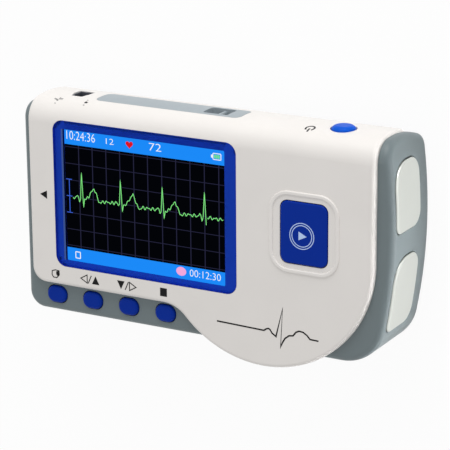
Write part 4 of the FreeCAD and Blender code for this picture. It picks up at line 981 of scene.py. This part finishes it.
class MONITOR_OT_marks(Operator):
    """Print the marks on the front cover"""
    bl_idname = "monitor.marks"
    bl_label = "Printed marks"

    def execute(self, context):
        look = context.scene.monitor_marks
        ink = printed("mark_ink", look.ink, mirror=look.mirror)
        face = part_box("display_window")[1].z      # the front cover ends level with the window
        start_key = middle_of("start_key")

        art = Artwork(flat, face - look.thick, face + look.thick)
        self.draw_key_marks(art, look)
        half = look.mark_size / 2
        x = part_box("display_window")[0].x - look.arrow_place
        art.fill([(x - look.arrow_reach, start_key.y), (x + look.arrow_reach, start_key.y - half),
                  (x + look.arrow_reach, start_key.y + half)])
        art.piece("key_marks", ink, CASE)

        art = Artwork(flat, face - look.thick, face + look.thick)
        art.line([(start_key.x + x, start_key.y + y) for x, y in points_in_metres(PULSE_PRINT)],
                 look.pulse_line)
        art.piece("pulse_print", ink, CASE)
        self.draw_side_marks(look)
        return {"FINISHED"}

    def draw_key_marks(self, art, look):
        """The four marks above the menu keys: a sheet, two pairs of arrows and a square."""
        keys = [middle_of(f"menu_key_{number}") for number in range(1, 5)]
        first, second, third, fourth = (key.x + shift * MM for key, shift in zip(keys, MARK_SHIFTS))
        y = keys[0].y + look.marks_above
        half = look.mark_size / 2
        sheet = half * look.sheet
        art.line([(first + x * sheet, y + up * sheet) for x, up in SHEET], look.thin_line, closed=True)
        art.fill([(first + x * sheet, y + up * sheet) for x, up in FOLD])
        self.draw_pair(art, second, y, half, look.thin_line, -1)
        self.draw_pair(art, third, y, half, look.thin_line, 1)
        art.bar(fourth - half * SQUARE_HALF, y - half, fourth + half * SQUARE_HALF, y + half)

    def draw_pair(self, art, x, y, half, line, way):
        """An open arrow and a filled one with a stroke between them."""
        wide = half * ARROW_HALF
        reach = half * PAIR_REACH
        lean = half * STROKE_LEAN
        open_x = x + way * reach
        art.line([(open_x + way * wide, y), (open_x - way * wide, y + half), (open_x - way * wide, y - half)],
                 line, closed=True)
        filled_x = x - way * reach
        art.fill([(filled_x - half, y + way * half), (filled_x + half, y + way * half),
                  (filled_x, y - way * half)])
        art.line([(x - lean, y - half), (x + lean, y + half)], line)

    def draw_side_marks(self, look):
        """The small signs on the top side, beside the socket, the strip and the power key."""
        slope = CoverSlope()
        art = Artwork(slope.lay, -look.thick, look.thick)
        for stroke in SOCKET_STROKES:
            art.line(points_in_metres(stroke), look.side_line)
        art.piece("socket_mark", printed("pale_side_ink", look.pale_ink, mirror=look.mirror), CASE)

        art = Artwork(slope.lay, -look.thick, look.thick)
        art.line(points_in_metres(STRIP_STROKE), look.side_line)
        art.fill(points_in_metres(STRIP_SPOT))
        art.line(arc(*in_metres(POWER_RING), look.ring, *POWER_RING_TURN), look.side_line)
        art.line(points_in_metres(POWER_STROKE), look.side_line)
        art.piece("side_marks", printed("dark_side_ink", look.dark_ink, mirror=look.mirror), CASE)


# ---------------------------------------------------------------- electrodes and inside
class MONITOR_OT_electrodes(Operator):
    """Finish the three electrodes"""
    bl_idname = "monitor.electrodes"
    bl_label = "Electrodes"

    def execute(self, context):
        look = context.scene.monitor_electrodes
        dress(brushed("electrode_plate", look.plate, look.gloss),
              "upper_electrode", "lower_electrode", "left_electrode")
        return {"FINISHED"}


class MONITOR_OT_inside(Operator):
    """Finish the pieces inside, the socket and the screws"""
    bl_idname = "monitor.inside"
    bl_label = "Inside"

    def execute(self, context):
        look = context.scene.monitor_inside
        skin = look.gloss, look.grain, look.grain_depth
        dress(moulded("socket_plastic", look.socket, *skin), "cable_socket")
        dress(moulded("black_plastic", look.black, *skin), "board_chips", "start_switch", "power_switch")
        dress(brushed("contact_gold", look.gold, roughness=0.3), "socket_contacts")
        dress(brushed("spring_steel", look.spring, roughness=0.28, scale=(0.05, 1.0, 1.0)),
              "electrode_springs", "battery_plates", "battery_springs")
        dress(brushed("screw_steel", look.screw, roughness=0.35), "rear_screws", "board_screws")
        dress(board_skin("board_mask", look), "main_board")
        dress(cell_skin("cell_wrap", look), "battery_cell_1", "battery_cell_2")
        dress(rubber("keypad_rubber", look.mat), "keypad_mat")
        return {"FINISHED"}


# ---------------------------------------------------------------- stage
FLOOR_REACH = 6.0             # from the middle of the floor to each side
FLOOR_LEVEL = -0.02 * MM      # just under what stands on it


class MONITOR_OT_stage(Operator):
    """Set the floor, the lamps, the surroundings and the camera"""
    bl_idname = "monitor.stage"
    bl_label = "Stage"

    def execute(self, context):
        look = context.scene.monitor_stage
        self.set_floor(look)
        self.set_world(look)
        self.set_lamp("top_lamp", look.top_lamp, look.top_lamp_place, look.top_lamp_size)
        self.set_lamp("end_lamp", look.end_lamp, look.end_lamp_place, look.end_lamp_size)
        self.set_floor_lamp(look)
        self.set_camera(look)
        context.scene.view_settings.view_transform = "Standard"
        return {"FINISHED"}

    def set_floor(self, look):
        """A wide pale floor that looks white to the camera and still shows a soft shadow."""
        mesh = bpy.data.meshes.new("floor")
        corners = [(x * FLOOR_REACH, y * FLOOR_REACH, FLOOR_LEVEL)
                   for x, y in ((-1, -1), (1, -1), (1, 1), (-1, 1))]
        mesh.from_pydata(corners, [], [(0, 1, 2, 3)])
        added("floor", mesh)
        finish = Finish("floor_card")
        fine = finish.noise(size=30 * MM)
        pale = (look.floor,) * 3
        card = finish.surface(Base_Color=finish.mix(fine, scaled(pale, 0.99), pale), Roughness=0.9,
                              Specular_IOR_Level=0.0)
        white = finish.node("ShaderNodeEmission", {}, {"Color": PURE_WHITE, "Strength": 1.0})
        seen = finish.seen_directly() * look.floor_white
        mesh.materials.append(finish.done(finish.blend(seen, card, white)))

    def set_world(self, look):
        """Even light all round, and plain white where it is seen."""
        world = bpy.data.worlds.new("surroundings")
        bpy.context.scene.world = world
        tree = Tree(world)
        light = tree.node("ShaderNodeBackground", {}, {"Strength": look.ambient})
        white = tree.node("ShaderNodeBackground", {}, {"Color": PURE_WHITE, "Strength": 1.0})
        tree.node("ShaderNodeOutputWorld", {}, {"Surface": tree.blend(tree.seen_directly(), light, white)})

    def set_lamp(self, name, watts, place, size):
        """A soft square lamp that points at the object."""
        lamp = bpy.data.lights.new(name, "AREA")
        lamp.energy = watts
        lamp.size = size
        holder = added(name, lamp)
        holder.location = place
        holder.rotation_euler = (-Vector(place)).to_track_quat("-Z", "Y").to_euler()

    def set_floor_lamp(self, look):
        """A lamp that points straight down on the floor, a little to the right of the object."""
        lamp = bpy.data.lights.new("floor_lamp", "SPOT")
        lamp.energy = look.floor_lamp
        lamp.spot_size = look.floor_lamp_beam
        lamp.spot_blend = 0.1
        lamp.shadow_soft_size = look.floor_lamp_size
        added("floor_lamp", lamp).location = look.floor_lamp_place

    def set_camera(self, look):
        """The camera, upright to the top side and turned by its roll."""
        lens = bpy.data.cameras.new("camera")
        lens.sensor_width = 36.0
        lens.lens = look.lens
        lens.clip_start = 0.01
        camera = added("camera", lens)
        bpy.context.scene.camera = camera
        place = Vector(look.camera_place)
        ahead = (Vector(look.camera_aim) - place).normalized()
        across = ahead.cross(Vector((0.0, 1.0, 0.0))).normalized()
        upright = across.cross(ahead)
        turned = Matrix.Rotation(look.camera_roll, 3, ahead)
        columns = Matrix((turned @ across, turned @ upright, -ahead)).transposed()
        camera.matrix_world = Matrix.Translation(place) @ columns.to_4x4()


# ---------------------------------------------------------------- add-on
OPERATORS = [MONITOR_OT_shells, MONITOR_OT_keys, MONITOR_OT_display, MONITOR_OT_marks,
             MONITOR_OT_electrodes, MONITOR_OT_inside, MONITOR_OT_stage]


class MONITOR_PT_panel(Panel):
    """Lists the steps that finish the monitor"""
    bl_idname = "MONITOR_PT_panel"
    bl_label = "Heart Rhythm Monitor"
    bl_space_type = "VIEW_3D"
    bl_region_type = "UI"
    bl_category = "Monitor"

    def draw(self, context):
        for operator in OPERATORS:
            self.layout.operator(operator.bl_idname)
        for name, group in GROUPS.items():
            box = self.layout.box()
            box.label(text=group.__doc__)
            for key in group.__annotations__:
                box.prop(getattr(context.scene, name), key)


CLASSES = [*GROUPS.values(), *OPERATORS, MONITOR_PT_panel]


def register():
    for kind in CLASSES:
        bpy.utils.register_class(kind)
    for name, group in GROUPS.items():
        setattr(bpy.types.Scene, name, PointerProperty(type=group))


def unregister():
    for name in GROUPS:
        delattr(bpy.types.Scene, name)
    for kind in reversed(CLASSES):
        bpy.utils.unregister_class(kind)


def main():
    """Finish the whole monitor."""
    register()
    bpy.ops.monitor.shells()
    bpy.ops.monitor.keys()
    bpy.ops.monitor.display()
    bpy.ops.monitor.marks()
    bpy.ops.monitor.electrodes()
    bpy.ops.monitor.inside()
    bpy.ops.monitor.stage()


if __name__ == "__main__":
    main()
